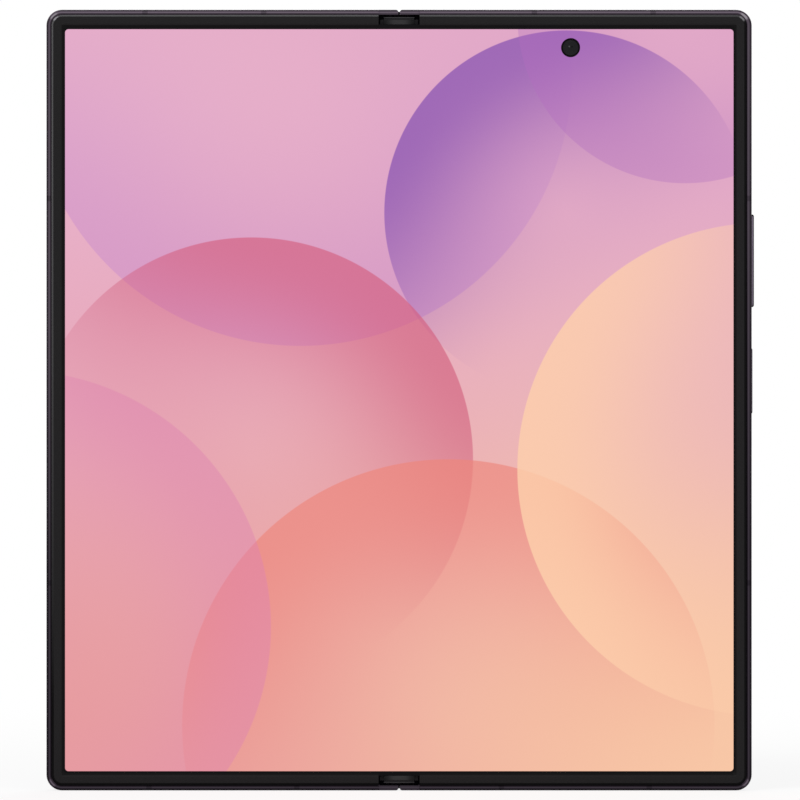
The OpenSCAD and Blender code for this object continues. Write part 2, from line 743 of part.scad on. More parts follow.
// A key's slot in the band, or the body of the key that fills it less a gap
module key_shape(y, l, out, gap) {
    w = key_w - 2 * gap;
    r = w / 2;
    translate([lip_x, y, key_z]) rotate([0, 90, 0]) linear_extrude(half_w - lip_x + out) {
        square([w, l - 2 * gap - w], center = true);
        for (side = [-1, 1]) {
            translate([0, side * (l / 2 - gap - r)]) circle(r);
        }
    }
}

// A key with its retaining lips behind the band, a gap away from it, and pips at the given places
module key(y, l, out, lip_gap, pip_h, pips) {
    key_shape(y, l, out, fit_gap);
    block([lip_x, y - l / 2 - key_lip, key_z - key_w / 2 + fit_gap],
          [half_w - wall_t - lip_gap, y + l / 2 + key_lip, key_z + key_w / 2 - fit_gap]);
    for (p = pips) {
        translate([lip_x - pip_h, y + p, key_z]) rotate([0, 90, 0]) cylinder(r = key_pip_r, h = pip_h + tiny);
    }
}

module main_frame() {
    color("#5a525c") stand_up() {
        difference() {
            half_frame(0);
            key_shape(volume_y, volume_l, 1, 0);
            key_shape(side_key_y, side_key_l, 1, 0);
            // Room for the keys' lips, which lie against the band's inner face
            block([lip_x - key_room, side_key_y - side_key_l / 2 - key_room, key_z - key_w / 2 - fit_gap],
                  [half_w - wall_t, volume_y + volume_l / 2 + key_room, key_z + key_w / 2 + fit_gap]);
            usb_outline(-top_y - 1, usb_y + 4 * fit_gap, usb_wall + fit_gap);
            for (i = [0 : sound_holes - 1]) {
                translate([bottom_break_out + sound_hole_start + i * sound_hole_pitch, -top_y + wall_t + 1, key_z])
                    rotate([90, 0, 0]) cylinder(r = sound_hole_r, h = wall_t + 2);
            }
            translate([punch_x, punch_y, 0]) cylinder(r = punch_d / 2, h = body_t);
        }
        // Bar that backs the key switches
        block([switch_x - switch_bar_t, side_key_y - side_key_l / 2, key_z - key_w / 2],
              [switch_x, volume_y + volume_l / 2, mid_z + tiny]);
    }
}

module main_antenna_breaks() {
    color("#4a434c") stand_up() antenna_pieces();
}

// Glass on the back of the half at +x
module back_glass() {
    linear_extrude(glass_t) half_outline(glass_x, wall_t + fit_gap, corner_r - wall_t - fit_gap);
}

module rear_glass() {
    color("#3c3a42") stand_up() difference() {
        back_glass();
        rounded_block(island_x, island_y, island_w + 2 * fit_gap, island_l + 2 * fit_gap, -1, body_t,
                      island_w / 2);
        translate([island_x - flash_side, island_y + island_l / 2 - flash_down, -1])
            cylinder(r = flash_r + fit_gap, h = body_t);
    }
}

// Section through the camera island from its middle out, with a rounded rim at the back
module island_section() {
    r = island_w / 2;
    translate([0, -island_raise]) square([r - island_edge_r, island_raise + glass_t]);
    translate([0, -island_raise + island_edge_r]) square([r, island_raise + glass_t - island_edge_r]);
    translate([r - island_edge_r, -island_raise + island_edge_r]) circle(island_edge_r);
    translate([0, glass_t]) square([r + island_flange_w, island_flange_t]);
}

// Runs its children at each of the three rear cameras, from the top one down
module at_cameras() {
    for (i = [-1 : 1]) {
        translate([island_x, island_y + i * camera_pitch, 0]) children();
    }
}

module camera_island() {
    straight = island_l - island_w;
    color("#57505c") stand_up() difference() {
        translate([island_x, island_y, 0]) {
            for (side = [0, 1]) {
                mirror([side, 0, 0]) along_fold(-straight / 2, straight / 2) island_section();
                mirror([0, side, 0]) translate([0, straight / 2, 0]) rotate_extrude(angle = 180) island_section();
            }
        }
        at_cameras() translate([0, 0, -body_t]) cylinder(r = island_bore_r, h = 2 * body_t);
    }
}

// Section through a lens ring: a wide face outside and a step inside that carries the glass
module ring_section() {
    z0 = -ring_raise;
    step_z = z0 + lens_sink + lens_glass_t;
    translate([ring_r - ring_face_w, z0]) square([ring_face_w - ring_edge_r, -island_raise - z0]);
    translate([ring_r - ring_face_w, z0 + ring_edge_r]) square([ring_face_w, -island_raise - z0 - ring_edge_r]);
    translate([ring_r - ring_edge_r, z0 + ring_edge_r]) circle(ring_edge_r);
    translate([island_bore_r, step_z]) square([ring_r - island_bore_r - ring_edge_r, -island_raise - step_z]);
}

module lens_rings() {
    color("#6f6873") stand_up() at_cameras() rotate_extrude() ring_section();
}

module lens_glasses() {
    color("#15151b") stand_up() at_cameras() translate([0, 0, lens_sink - ring_raise])
        cylinder(r = ring_r - ring_face_w - fit_gap, h = lens_glass_t);
}

// A rear camera: a barrel behind the lens glass on a square body that meets the screen's plate
module rear_camera(place, barrel_r) {
    y = island_y + place * camera_pitch;
    barrel_z = lens_sink + lens_glass_t + barrel_gap - ring_raise;
    body_z = glass_t + island_flange_t;
    color("#24242a") stand_up() {
        translate([island_x, y, barrel_z]) cylinder(r = barrel_r, h = body_z + tiny - barrel_z);
        rounded_block(island_x, y, camera_body, camera_body, body_z, mid_z, 1);
    }
}

module wide_camera() {
    rear_camera(0, wide_barrel_r);
}

module ultrawide_camera() {
    rear_camera(1, ultrawide_barrel_r);
}

module tele_camera() {
    rear_camera(-1, tele_barrel_r);
}

module flash_lens() {
    color("#e9dfb8") stand_up()
        translate([island_x - flash_side, island_y + island_l / 2 - flash_down, 0])
            cylinder(r = flash_r, h = glass_t);
}

// Rim round the screen on the half at +x: a raised part and a lip that slopes onto the screen
module screen_rim() {
    inner_r = corner_r - rim_out;
    difference() {
        translate([0, 0, plate_z]) linear_extrude(body_t - plate_z) half_outline(rim_start, rim_out, inner_r);
        // Seat of the screen under the lip
        translate([0, 0, plate_z - tiny]) linear_extrude(screen_top - plate_z + tiny)
            half_outline(0, rim_in, screen_r);
        // Slope from the raised part down to the lip's thin edge
        hull() {
            translate([0, 0, screen_top + lip_edge]) linear_extrude(tiny) half_outline(0, lip_in, screen_r, $fn = 32);
            translate([0, 0, body_t]) linear_extrude(tiny) half_outline(0, rim_in, screen_r, $fn = 32);
        }
        translate([0, 0, screen_top - tiny]) linear_extrude(lip_edge + 2 * tiny) half_outline(0, lip_in, screen_r);
    }
}

module screen_rim_right() {
    color("#232326") stand_up() difference() {
        screen_rim();
        usb_outline(-top_y, usb_y + 4 * fit_gap, usb_wall + fit_gap);
    }
}

// A layer of the screen on the half at +x, from z0 to z1
module screen_layer(z0, z1) {
    translate([0, 0, z0]) linear_extrude(z1 - z0) half_outline(fold_w / 2, panel_edge, screen_r);
}

module inner_screen_right() {
    color("#dda3b8") stand_up() difference() {
        screen_layer(panel_z, screen_top);
        translate([punch_x, punch_y, 0]) cylinder(r = punch_d / 2, h = body_t);
    }
}

module screen_plate_right() {
    color("#8a8c90") stand_up() difference() {
        screen_layer(plate_z, panel_z);
        translate([punch_x, punch_y, 0]) cylinder(r = punch_d / 2, h = body_t);
        usb_outline(-top_y, usb_y + 4 * fit_gap, usb_wall + fit_gap);
    }
}

module inner_camera() {
    barrel_top = screen_top - inner_window_t;
    color("#1d1d22") stand_up() {
        rounded_block(punch_x, punch_y, inner_camera_w, inner_camera_w, mid_z - inner_camera_d, mid_z, 0.6);
        translate([punch_x, punch_y, mid_z - tiny])
            cylinder(r = punch_d / 2 - fit_gap, h = barrel_top - mid_z + tiny);
    }
}

module inner_camera_window() {
    color("#0c0c10") stand_up() translate([punch_x, punch_y, screen_top - inner_window_t])
        cylinder(r = punch_d / 2 - fit_gap, h = inner_window_t);
}

// The logic board's outline, with a notch for the inner camera, less an inset
module board_outline(inset) {
    notch = inner_camera_w / 2 + notch_gap + inset;
    difference() {
        translate([board_x + inset, board_top_y - board_l + inset])
            square([board_w - 2 * inset, board_l - 2 * inset]);
        translate([punch_x - notch, punch_y - notch]) square([2 * notch, far]);
    }
}

module heat_spreader() {
    color("#b06a45") stand_up() translate([0, 0, can_top]) linear_extrude(spreader_t) board_outline(0);
}

// Shielding cans on the logic board, as [across, along, width, length] from its lower left corner
cans = [
    [can_margin, can_margin, inner_can_w, lower_can_l],
    [can_margin + inner_can_w + can_space, can_margin, outer_can_w, lower_can_l],
    [can_margin, upper_can_y, board_w - 2 * can_margin, upper_can_l]
];

module board_cans() {
    color("#a9abb0") stand_up() translate([board_x, board_top_y - board_l, board_top]) {
        for (c = cans) {
            translate([c[0], c[1], 0]) difference() {
                cube([c[2], c[3], can_t]);
                translate([can_wall, can_wall, -tiny])
                    cube([c[2] - 2 * can_wall, c[3] - 2 * can_wall, can_t - can_wall + tiny]);
            }
        }
    }
}

// The board with the chips that lie under its cans
module logic_board() {
    margin = can_margin;
    color("#1f4a35") stand_up() {
        translate([0, 0, board_top - board_t]) linear_extrude(board_t) board_outline(0);
        translate([board_x, board_top_y - board_l, board_top - tiny]) {
            for (c = cans) {
                translate([c[0] + margin, c[1] + margin, 0])
                    cube([c[2] - 2 * margin, c[3] - 2 * margin, can_t - 2 * can_wall]);
            }
        }
    }
}

module main_battery() {
    color("#2c2e36") stand_up() rounded_block(main_battery_x, main_battery_y,
        main_battery_w, main_battery_l, mid_z - main_battery_t, mid_z, pack_r);
}

module charging_coil() {
    color("#9c6b3c") stand_up() translate([main_battery_x, main_battery_y, glass_t])
        difference() {
            cylinder(r = coil_r, h = coil_t);
            translate([0, 0, -1]) cylinder(r = coil_hole_r, h = 2);
        }
}

// The USB port's long round outline grown by a wall, extruded from y0 to y1
module usb_outline(y0, y1, grow) {
    r = usb_h / 2 + grow;
    translate([usb_x, 0, usb_z]) along_fold(y0, y1) {
        square([usb_w - usb_h, 2 * r], center = true);
        for (side = [-1, 1]) {
            translate([side * (usb_w - usb_h) / 2, 0]) circle(r);
        }
    }
}

module usb_shell() {
    color("#9a9ca2") stand_up() difference() {
        usb_outline(-top_y + usb_sink, usb_y, usb_wall);
        usb_outline(-top_y - 1, usb_y - usb_wall, 0);
    }
}

module usb_tongue() {
    color("#17171a") stand_up() block(
        [usb_x - usb_tongue_w / 2, usb_y - usb_wall - usb_tongue_l, usb_z - usb_tongue_t / 2],
        [usb_x + usb_tongue_w / 2, usb_y - usb_wall, usb_z + usb_tongue_t / 2]);
}

module usb_board() {
    color("#1f4a35") stand_up() block([usb_x - usb_board_w / 2, usb_y + fit_gap, mid_z - usb_board_t],
                                      [usb_x + usb_board_w / 2, usb_y + usb_board_l, mid_z]);
}

module loudspeaker() {
    color("#202024") stand_up() {
        rounded_block((speaker_x0 + speaker_x1) / 2, speaker_l / 2 - bay_top_y, speaker_x1 - speaker_x0,
                      speaker_l, mid_z - speaker_t, mid_z, pack_r);
    }
}

module vibration_motor() {
    color("#8e9096") stand_up() rounded_block(bay_x + motor_w / 2, motor_l / 2 - bay_top_y, motor_w, motor_l,
                                              mid_z - motor_t, mid_z, pack_r);
}

module key_switches() {
    dome_h = switch_room - key_pip - key_travel - switch_strip_t - dome_gap;
    color("#b0893e") stand_up() {
        block([switch_x, side_key_y - side_key_l / 2, key_z - key_w / 2 + fit_gap],
              [switch_x + switch_strip_t, volume_y + volume_l / 2, key_z + key_w / 2 - fit_gap]);
        for (y = [side_key_y, volume_y - volume_l / 4, volume_y + volume_l / 4]) {
            translate([switch_x + switch_strip_t - tiny, y, key_z]) rotate([0, 90, 0])
                cylinder(r = dome_r, h = dome_h + tiny);
        }
    }
}

// The volume key also has a rounded rib in its middle, which rests near the switch strip
module volume_key() {
    pip_h = key_pip + key_travel - volume_l / 4 * sin(rock_angle);
    rib_x = switch_x + switch_strip_t + fit_gap + rock_rib_r;
    rib_h = key_w - 2 * fit_gap;
    color("#6b6470") stand_up() {
        key(volume_y, volume_l, volume_out, rock_gap, pip_h, [-volume_l / 4, volume_l / 4]);
        translate([rib_x, volume_y, key_z - rib_h / 2]) {
            cylinder(r = rock_rib_r, h = rib_h);
            translate([0, -rock_rib_r, 0]) cube([lip_x - rib_x + tiny, 2 * rock_rib_r, rib_h]);
        }
    }
}

module side_key() {
    color("#5f5865") stand_up() key(side_key_y, side_key_l, side_key_out, fit_gap, key_pip, [0]);
}

// A wedge from angle a0 to a1, wide enough to cut anything in the housing
module wedge(a0, a1) {
    steps = 8;
    reach = 3 * tongue_out_r;
    polygon(concat([[0, 0]], [for (i = [0 : steps]) let (a = a0 + (a1 - a0) * i / steps) reach * [cos(a), sin(a)]]));
}

// Angle by which an involute has left its base circle, in degrees
function involute(base, r) = let (a = acos(min(1, base / r))) tan(a) * 180 / PI - a;

// Half the angle that a tooth covers at radius r, when it has lost some play
function half_tooth(teeth, mod, play, r) =
    let (pitch = teeth * mod / 2, base = pitch * cos(pressure_angle))
    90 / teeth - play / pitch * 90 / PI + involute(base, pitch) - involute(base, r);

// Outline of an involute gear with one tooth pointing at angle turn
module gear_outline(teeth, mod, above, below, play, turn) {
    pitch = teeth * mod / 2;
    base = pitch * cos(pressure_angle);
    root = pitch - below * mod;
    tip = pitch + above * mod;
    rise = [root, max(base, root + mod / 50), pitch, (pitch + tip) / 2, tip];
    fall = [for (i = [4 : -1 : 0]) rise[i]];
    polygon([
        for (tooth = [0 : teeth - 1], flank = [-1, 1], r = flank < 0 ? rise : fall)
            let (a = turn + tooth * 360 / teeth + flank * half_tooth(teeth, mod, play, r))
            r * [cos(a), sin(a)]
    ]);
}

// Curved tongue about the half's own hinge axis, drawn in x and z
module tongue(inner_r) {
    translate([axis_x, axis_z]) intersection() {
        difference() {
            circle(tongue_out_r);
            circle(inner_r);
        }
        wedge(tongue_start, tongue_stop);
    }
}

// Swing arm: a curved tongue on a flange. Part of the tongue has teeth inside, which turn a pinion.
module swing_arms() {
    at_units() {
        // Plain part, which slides on the core
        along_fold(arm_y1 - core_l + side_gap, arm_y1) tongue(tongue_in_r);
        // Part with teeth
        along_fold(arm_y0, arm_y0 + rack_l) difference() {
            tongue(rack_r - addendum * rack_module);
            translate([axis_x, axis_z])
                gear_outline(rack_teeth, rack_module, dedendum, addendum, -tooth_play, -pinion_angle);
        }
        // Backing that joins the two parts behind the teeth
        along_fold(arm_y0, arm_y1) tongue(tongue_out_r - tongue_back_t);
        difference() {
            union() {
                block([axis_x + tongue_in_r + tongue_t / 6, arm_y0, arm_z], [flange_x, arm_y1, arm_top]);
                block([pocket_x + fit_gap, arm_y0 - flange_side, arm_z],
                      [flange_x, arm_y1 + flange_side, arm_top]);
            }
            for (y = [arm_y0 - flange_side / 2, arm_y1 + flange_side / 2]) {
                translate([pocket_x + flange_w / 2, y, 0]) {
                    cylinder(r = screw_shank_r + fit_gap, h = body_t);
                    translate([0, 0, head_z - tiny]) cylinder(r = screw_head_r + fit_gap, h = body_t);
                }
            }
        }
    }
}

module main_swing_arms() {
    color("#8f9196") stand_up() swing_arms();
}

module cover_swing_arms() {
    color("#8f9196") stand_up() rotate([0, 0, 180]) swing_arms();
}

module arm_screws() {
    at_arm_screws() {
        translate([0, 0, head_z]) cylinder(r = screw_head_r, h = screw_head_t);
        translate([0, 0, arm_z - screw_grip]) cylinder(r = screw_shank_r - tiny, h = head_z - arm_z + screw_grip + tiny);
    }
}

module main_arm_screws() {
    color("#3a3a3e") stand_up() arm_screws();
}

module cover_arm_screws() {
    color("#3a3a3e") stand_up() rotate([0, 0, 180]) arm_screws();
}

module main_wing_plate() {
    color("#9d9fa4") stand_up() block([wing_in_x, -wing_y, wing_z], [wing_w, wing_y, plate_z]);
}

module cover_wing_plate() {
    color("#9d9fa4") stand_up() block([-wing_w, -wing_y, wing_z], [-wing_in_x, wing_y, plate_z]);
}

// The lower half of a flat round bar about both hinge axes, drawn in x and z, up to the arms
module trough_section(r) {
    intersection() {
        union() {
            for (side = [-1, 1]) {
                translate([side * axis_x, axis_z]) circle(r);
            }
            translate([-axis_x, axis_z - r]) square([2 * axis_x, 2 * r]);
        }
        translate([-far / 2, 0]) square([far, arm_top]);
    }
}

module hinge_housing() {
    color("#5a525c") stand_up() difference() {
        along_fold(-housing_y, housing_y) trough_section(housing_r);
        along_fold(-housing_y + bearing_t, housing_y - bearing_t) trough_section(housing_in_r);
        // Notches in the edges, over which the arms and the flat cables pass
        for (turn = [0, 180]) {
            rotate([0, 0, turn]) at_units() block([axis_x + 0.5, arm_y0 - side_gap, arm_z - housing_gap],
                                                  [far, arm_y1 + side_gap, body_t]);
        }
        for (side = [-1, 1]) {
            block([-far, side * flex_y - flex_w / 2 - flex_gap, flex_z - housing_gap],
                  [far, side * flex_y + flex_w / 2 + flex_gap, body_t]);
        }
    }
}

// Chambers of a bracket for the arm and clips of the +x half, in a unit
module bracket_chambers() {
    along_fold(-chamber_end_y, -gear_wall_y) translate([axis_x, axis_z]) circle(tongue_out_r + slide_gap);
    block([axis_x, -chamber_end_y, 0], [far, -gear_wall_y, body_t]);
    block([-far, -clip_end_y, bracket_floor], [far, -clip_y, body_t]);
}

// Core on which the tongue of the +x half slides
module bracket_core() {
    along_fold(-gear_wall_y - core_l, -gear_wall_y + tiny) intersection() {
        translate([axis_x, axis_z]) circle(core_r);
        translate([-far / 2, 0]) square([far, arm_top]);
    }
}

module hinge_brackets() {
    bore_r = shaft_r + shaft_gap;
    bore_end = shaft_seat + shaft_end_gap;
    color("#707278") stand_up() at_units() difference() {
        union() {
            difference() {
                union() {
                    along_fold(-unit_half_l, unit_half_l) trough_section(housing_in_r - fit_gap);
                    block([-axis_x, -unit_half_l, axis_z - housing_in_r],
                          [axis_x, unit_half_l, axis_z - housing_in_r + 2 * fit_gap]);
                }
                for (turn = [0, 180]) {
                    rotate([0, 0, turn]) bracket_chambers();
                }
                block([-far, -gear_chamber_l / 2, bracket_floor], [far, gear_chamber_l / 2, body_t]);
            }
            for (turn = [0, 180]) {
                rotate([0, 0, turn]) bracket_core();
            }
        }
        for (turn = [0, 180]) {
            rotate([0, 0, turn]) {
                // Bearings of the gear shaft and of its idler
                along_fold(-clip_end_y - bore_end, gear_chamber_l / 2 + bore_end)
                    translate([shaft_x, shaft_z]) circle(bore_r);
                along_fold(-gear_chamber_l / 2 - bore_end, gear_chamber_l / 2 + bore_end)
                    translate([sync_r, shaft_z]) circle(bore_r);
            }
        }
    }
}

// A gear of the synchronising train in its chamber, with one tooth pointing at angle turn
module sync_gear(x, turn) {
    along_fold(-gear_chamber_l / 2 + 2 * side_gap, gear_chamber_l / 2 - 2 * side_gap)
        translate([x, shaft_z]) gear_outline(sync_teeth, sync_module, addendum, dedendum, tooth_play, turn);
}

// Shaft with the pinion that an arm turns and the first gear of the train
module gear_shafts(gear_turn) {
    at_units() {
        along_fold(-clip_end_y - shaft_seat, gear_chamber_l / 2 + shaft_seat)
            translate([shaft_x, shaft_z]) circle(shaft_r);
        along_fold(arm_y0 + side_gap, arm_y0 + rack_l - side_gap) translate([shaft_x, shaft_z])
            gear_outline(pinion_teeth, rack_module, addendum, dedendum, tooth_play, -pinion_angle);
        sync_gear(shaft_x, gear_turn);
    }
}

module main_gear_shafts() {
    color("#b9bbc0") stand_up() gear_shafts(180);
}

module cover_gear_shafts() {
    color("#b9bbc0") stand_up() rotate([0, 0, 180]) gear_shafts(180 + 180 / sync_teeth);
}

// Idler gear between the two shafts, on its own short shaft
module idler_gears(x, turn) {
    at_units() {
        along_fold(-gear_chamber_l / 2 - shaft_seat, gear_chamber_l / 2 + shaft_seat)
            translate([x, shaft_z]) circle(shaft_r);
        sync_gear(x, turn);
    }
}

module main_idler_gears() {
    color("#c4a55a") stand_up() idler_gears(sync_r, 180 / sync_teeth);
}

module cover_idler_gears() {
    color("#c4a55a") stand_up() idler_gears(-sync_r, 0);
}

module friction_clips() {
    step = (clip_chamber_l - 2 * side_gap - clip_w) / (clip_count - 1);
    color("#5c5f66") stand_up() at_units() {
        for (turn = [0, 180], i = [0 : clip_count - 1]) {
            y = -clip_end_y + side_gap + i * step;
            rotate([0, 0, turn]) along_fold(y, y + clip_w) difference() {
                union() {
                    translate([shaft_x, shaft_z]) circle(clip_r);
                    translate([shaft_x - clip_foot_w / 2, bracket_floor])
                        square([clip_foot_w, shaft_z - bracket_floor]);
                }
                translate([shaft_x, shaft_z]) circle(shaft_r + fit_gap / 2);
            }
        }
    }
}

module fold_support_plate() {
    x = axis_x - wing_gap;
    color("#85878c") stand_up() block([-x, -wing_y, arm_top], [x, wing_y, plate_z]);
}

module fold_lattice() {
    w = fold_w;
    l = 2 * (top_y - panel_edge);
    rows = floor((l / 2 - lattice_slot_l / 2 - 1) / lattice_pitch_y);
    color("#8a8c90") stand_up() translate([0, 0, plate_z]) linear_extrude(backing_t) difference() {
        square([w, l], center = true);
        for (i = [-2 : 2], j = [-rows : rows]) {
            translate([i * lattice_pitch_x, j * lattice_pitch_y])
                square([lattice_slot_w, lattice_slot_l], center = true);
        }
    }
}

module screen_fold_strip() {
    y = top_y - panel_edge;
    color("#e0a9bd") stand_up() block([-fold_w / 2, -y, panel_z], [fold_w / 2, y, screen_top]);
}

module fold_end_caps() {
    y1 = pocket_y - cap_end_gap;
    color("#2b2b2f") stand_up() {
        for (side = [0, 1]) {
            mirror([0, side, 0]) block([-cap_w / 2, y1 - cap_l, arm_top], [cap_w / 2, y1, screen_top + cap_raise]);
        }
    }
}

module hinge_flex_cables() {
    color("#a4742e") stand_up() {
        for (side = [-1, 1]) {
            block([-flex_reach, side * flex_y - flex_w / 2, flex_z],
                  [flex_reach, side * flex_y + flex_w / 2, flex_z + flex_t]);
        }
    }
}

// Stands up a piece of the cover half, which is modelled at +x and mirrored
module stand_cover() {
    stand_up() mirror([1, 0, 0]) children();
}

// The card tray's face or its slot in the bottom edge
module tray_face(gap, y0, y1) {
    block([tray_x - tray_face_w / 2 - gap, y0, tray_z - tray_face_h / 2 - gap],
          [tray_x + tray_face_w / 2 + gap, y1, tray_z + tray_face_h / 2 + gap]);
}

module cover_frame() {
    color("#5a525c") stand_cover() difference() {
        half_frame(1);
        tray_face(fit_gap, -top_y - 1, -top_y + wall_t + tiny);
        block([earpiece_x - earpiece_slot_w / 2, top_y - wall_t - tiny, key_z - earpiece_slot_h / 2],
              [earpiece_x + earpiece_slot_w / 2, top_y + 1, key_z + earpiece_slot_h / 2]);
    }
}

module cover_antenna_breaks() {
    color("#4a434c") stand_cover() antenna_pieces();
}

module cover_glass() {
    color("#101014") stand_cover() back_glass();
}

module cover_screen() {
    inset = ledge_in + cover_panel_gap;
    color("#1a1a20") stand_cover() difference() {
        translate([0, 0, glass_t]) linear_extrude(cover_panel_t)
            half_outline(hinge_side_x + ledge_w + cover_panel_gap, inset, corner_r - wall_t - cover_panel_gap);
        translate([cover_camera_x, cover_camera_y, 0]) cylinder(r = cover_camera_r + fit_gap, h = body_t);
    }
}

module cover_camera() {
    color("#1d1d22") stand_cover() {
        translate([cover_camera_x, cover_camera_y, glass_t]) cylinder(r = cover_camera_r, h = cover_panel_t + 0.2);
        rounded_block(cover_camera_x, cover_camera_y, cover_camera_w, cover_camera_w,
                      cover_panel_top + 0.1, mid_z, 0.6);
    }
}

module screen_rim_left() {
    color("#232326") stand_cover() screen_rim();
}

module inner_screen_left() {
    color("#dfa6bb") stand_cover() screen_layer(panel_z, screen_top);
}

module screen_plate_left() {
    color("#8a8c90") stand_cover() screen_layer(plate_z, panel_z);
}

module cover_battery() {
    color("#2c2e36") stand_cover() rounded_block(pack_x + cover_pack_w / 2, cover_battery_y,
        cover_pack_w, cover_battery_l, mid_z - cover_battery_t, mid_z, pack_r);
}

// Outline of the cover half's board, with notches for the camera and the earpiece
module cover_board_outline() {
    camera = cover_camera_w / 2 + notch_gap;
    difference() {
        translate([pack_x, cover_board_low]) square([cover_pack_w, cover_board_l]);
        translate([cover_camera_x - camera, cover_camera_y - camera]) square([2 * camera, far]);
        translate([earpiece_x - earpiece_w / 2 - notch_gap, bay_top_y - earpiece_l - notch_gap])
            square([earpiece_w + 2 * notch_gap, far]);
    }
}

module cover_board() {
    z = mid_z - cover_can_t - cover_board_t;
    color("#1f4a35") stand_cover() translate([0, 0, z]) linear_extrude(cover_board_t) cover_board_outline();
}

module cover_board_can() {
    notch_low = min(cover_camera_y - cover_camera_w / 2, bay_top_y - earpiece_l) - notch_gap;
    low = [pack_x + cover_can_margin, cover_board_low + cover_can_margin, mid_z - cover_can_t];
    high = [pack_x + cover_pack_w - cover_can_margin, notch_low - cover_can_margin, mid_z];
    wall = [can_wall, can_wall, can_wall];
    color("#a9abb0") stand_cover() difference() {
        block(low, high);
        block([low.x, low.y, low.z - can_wall - tiny] + wall, high - wall);
    }
}

module earpiece_speaker() {
    color("#202024") stand_cover() rounded_block(earpiece_x, bay_top_y - earpiece_l / 2, earpiece_w, earpiece_l,
                                                 mid_z - earpiece_t, mid_z, 0.6);
}

module sim_tray() {
    y0 = -top_y + wall_t;
    card_y = y0 + tray_l - card_ledge;
    color("#5f5865") stand_cover() difference() {
        union() {
            tray_face(0, -top_y + fit_gap, y0);
            block([tray_x - tray_w / 2, y0 - tiny, tray_z - tray_t / 2],
                  [tray_x + tray_w / 2, y0 + tray_l, tray_z + tray_t / 2]);
        }
        // Pocket for the card, and the hole in its floor
        block([tray_x - card_w / 2, card_y - card_l, tray_z + tray_t / 2 - card_sink],
              [tray_x + card_w / 2, card_y, body_t]);
        block([tray_x - card_w / 2 + card_ledge, card_y - card_l + card_ledge, 0],
              [tray_x + card_w / 2 - card_ledge, card_y - card_ledge, body_t]);
        translate([tray_x + tray_face_w / 2 - pin_hole_r - pin_hole_gap, y0 + 1, tray_z])
            rotate([90, 0, 0]) cylinder(r = pin_hole_r, h = wall_t + 2);
    }
}

module sim_socket() {
    x = tray_w / 2 + tray_gap;
    z = tray_t / 2 + tray_gap;
    y0 = -top_y + ledge_in + tray_gap;
    y1 = -top_y + wall_t + tray_l + tray_gap;
    color("#a9abb0") stand_cover() difference() {
        block([tray_x - x - socket_t, y0, tray_z - z - socket_t],
              [tray_x + x + socket_t, y1 + socket_t, tray_z + z + socket_t]);
        block([tray_x - x, y0 - 1, tray_z - z], [tray_x + x, y1, tray_z + z]);
    }
}

main_frame();
main_antenna_breaks();
rear_glass();
camera_island();
lens_rings();
lens_glasses();
wide_camera();
ultrawide_camera();
tele_camera();
flash_lens();
screen_rim_right();
inner_screen_right();
screen_plate_right();
inner_camera();
inner_camera_window();
heat_spreader();
logic_board();
board_cans();
main_battery();
charging_coil();
usb_shell();
usb_tongue();
usb_board();
loudspeaker();
vibration_motor();
key_switches();
volume_key();
side_key();
main_swing_arms();
main_wing_plate();
main_arm_screws();
hinge_housing();
hinge_brackets();
main_gear_shafts();
cover_gear_shafts();
main_idler_gears();
cover_idler_gears();
friction_clips();
fold_support_plate();
fold_lattice();
screen_fold_strip();
fold_end_caps();
hinge_flex_cables();
cover_frame();
cover_antenna_breaks();
cover_glass();
cover_screen();
cover_camera();
screen_rim_left();
inner_screen_left();
screen_plate_left();
cover_battery();
cover_board();
cover_board_can();
earpiece_speaker();
sim_tray();
sim_socket();
cover_swing_arms();
cover_wing_plate();
cover_arm_screws();
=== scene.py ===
# %% [markdown]
# # Dressing a folding phone
# The phone's solids, with every hinge, gear and screw, come packed from a CAD model. This
# lesson gives them their looks: it adds the shapes that a solid model leaves plain, paints
# every surface with shader nodes, and sets up the light and the camera.
#
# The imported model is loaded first. It stands upright with its inner screen towards -Y, and
# all lengths in Blender are in metres.

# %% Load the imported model
import json
import math
from functools import cached_property, partialmethod

import bmesh
import bpy
import numpy as np
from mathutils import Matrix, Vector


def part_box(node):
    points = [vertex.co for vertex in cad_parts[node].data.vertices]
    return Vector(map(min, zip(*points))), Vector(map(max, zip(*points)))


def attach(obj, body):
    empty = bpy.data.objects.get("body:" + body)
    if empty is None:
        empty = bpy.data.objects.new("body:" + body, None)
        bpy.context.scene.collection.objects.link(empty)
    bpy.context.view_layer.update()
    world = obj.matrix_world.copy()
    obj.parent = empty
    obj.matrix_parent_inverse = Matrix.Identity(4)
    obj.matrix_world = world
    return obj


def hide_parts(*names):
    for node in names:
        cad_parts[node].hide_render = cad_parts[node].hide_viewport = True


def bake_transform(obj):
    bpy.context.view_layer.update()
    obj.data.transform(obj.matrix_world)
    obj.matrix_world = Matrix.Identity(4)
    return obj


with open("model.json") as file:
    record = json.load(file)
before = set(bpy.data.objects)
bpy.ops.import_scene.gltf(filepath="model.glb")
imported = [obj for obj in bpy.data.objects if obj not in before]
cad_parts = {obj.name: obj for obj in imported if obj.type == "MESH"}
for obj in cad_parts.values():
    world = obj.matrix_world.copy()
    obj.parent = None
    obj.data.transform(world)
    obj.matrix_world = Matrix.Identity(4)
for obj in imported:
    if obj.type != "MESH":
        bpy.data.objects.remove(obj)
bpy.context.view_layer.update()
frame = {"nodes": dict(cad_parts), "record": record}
MM = 0.001

# %% [markdown]
# ## The phone's own measures
# New pieces have to fit the solids to a hundredth of a millimetre. These lengths are the
# design values that the CAD source uses. They are kept in millimetres and turned into
# metres at the very end.

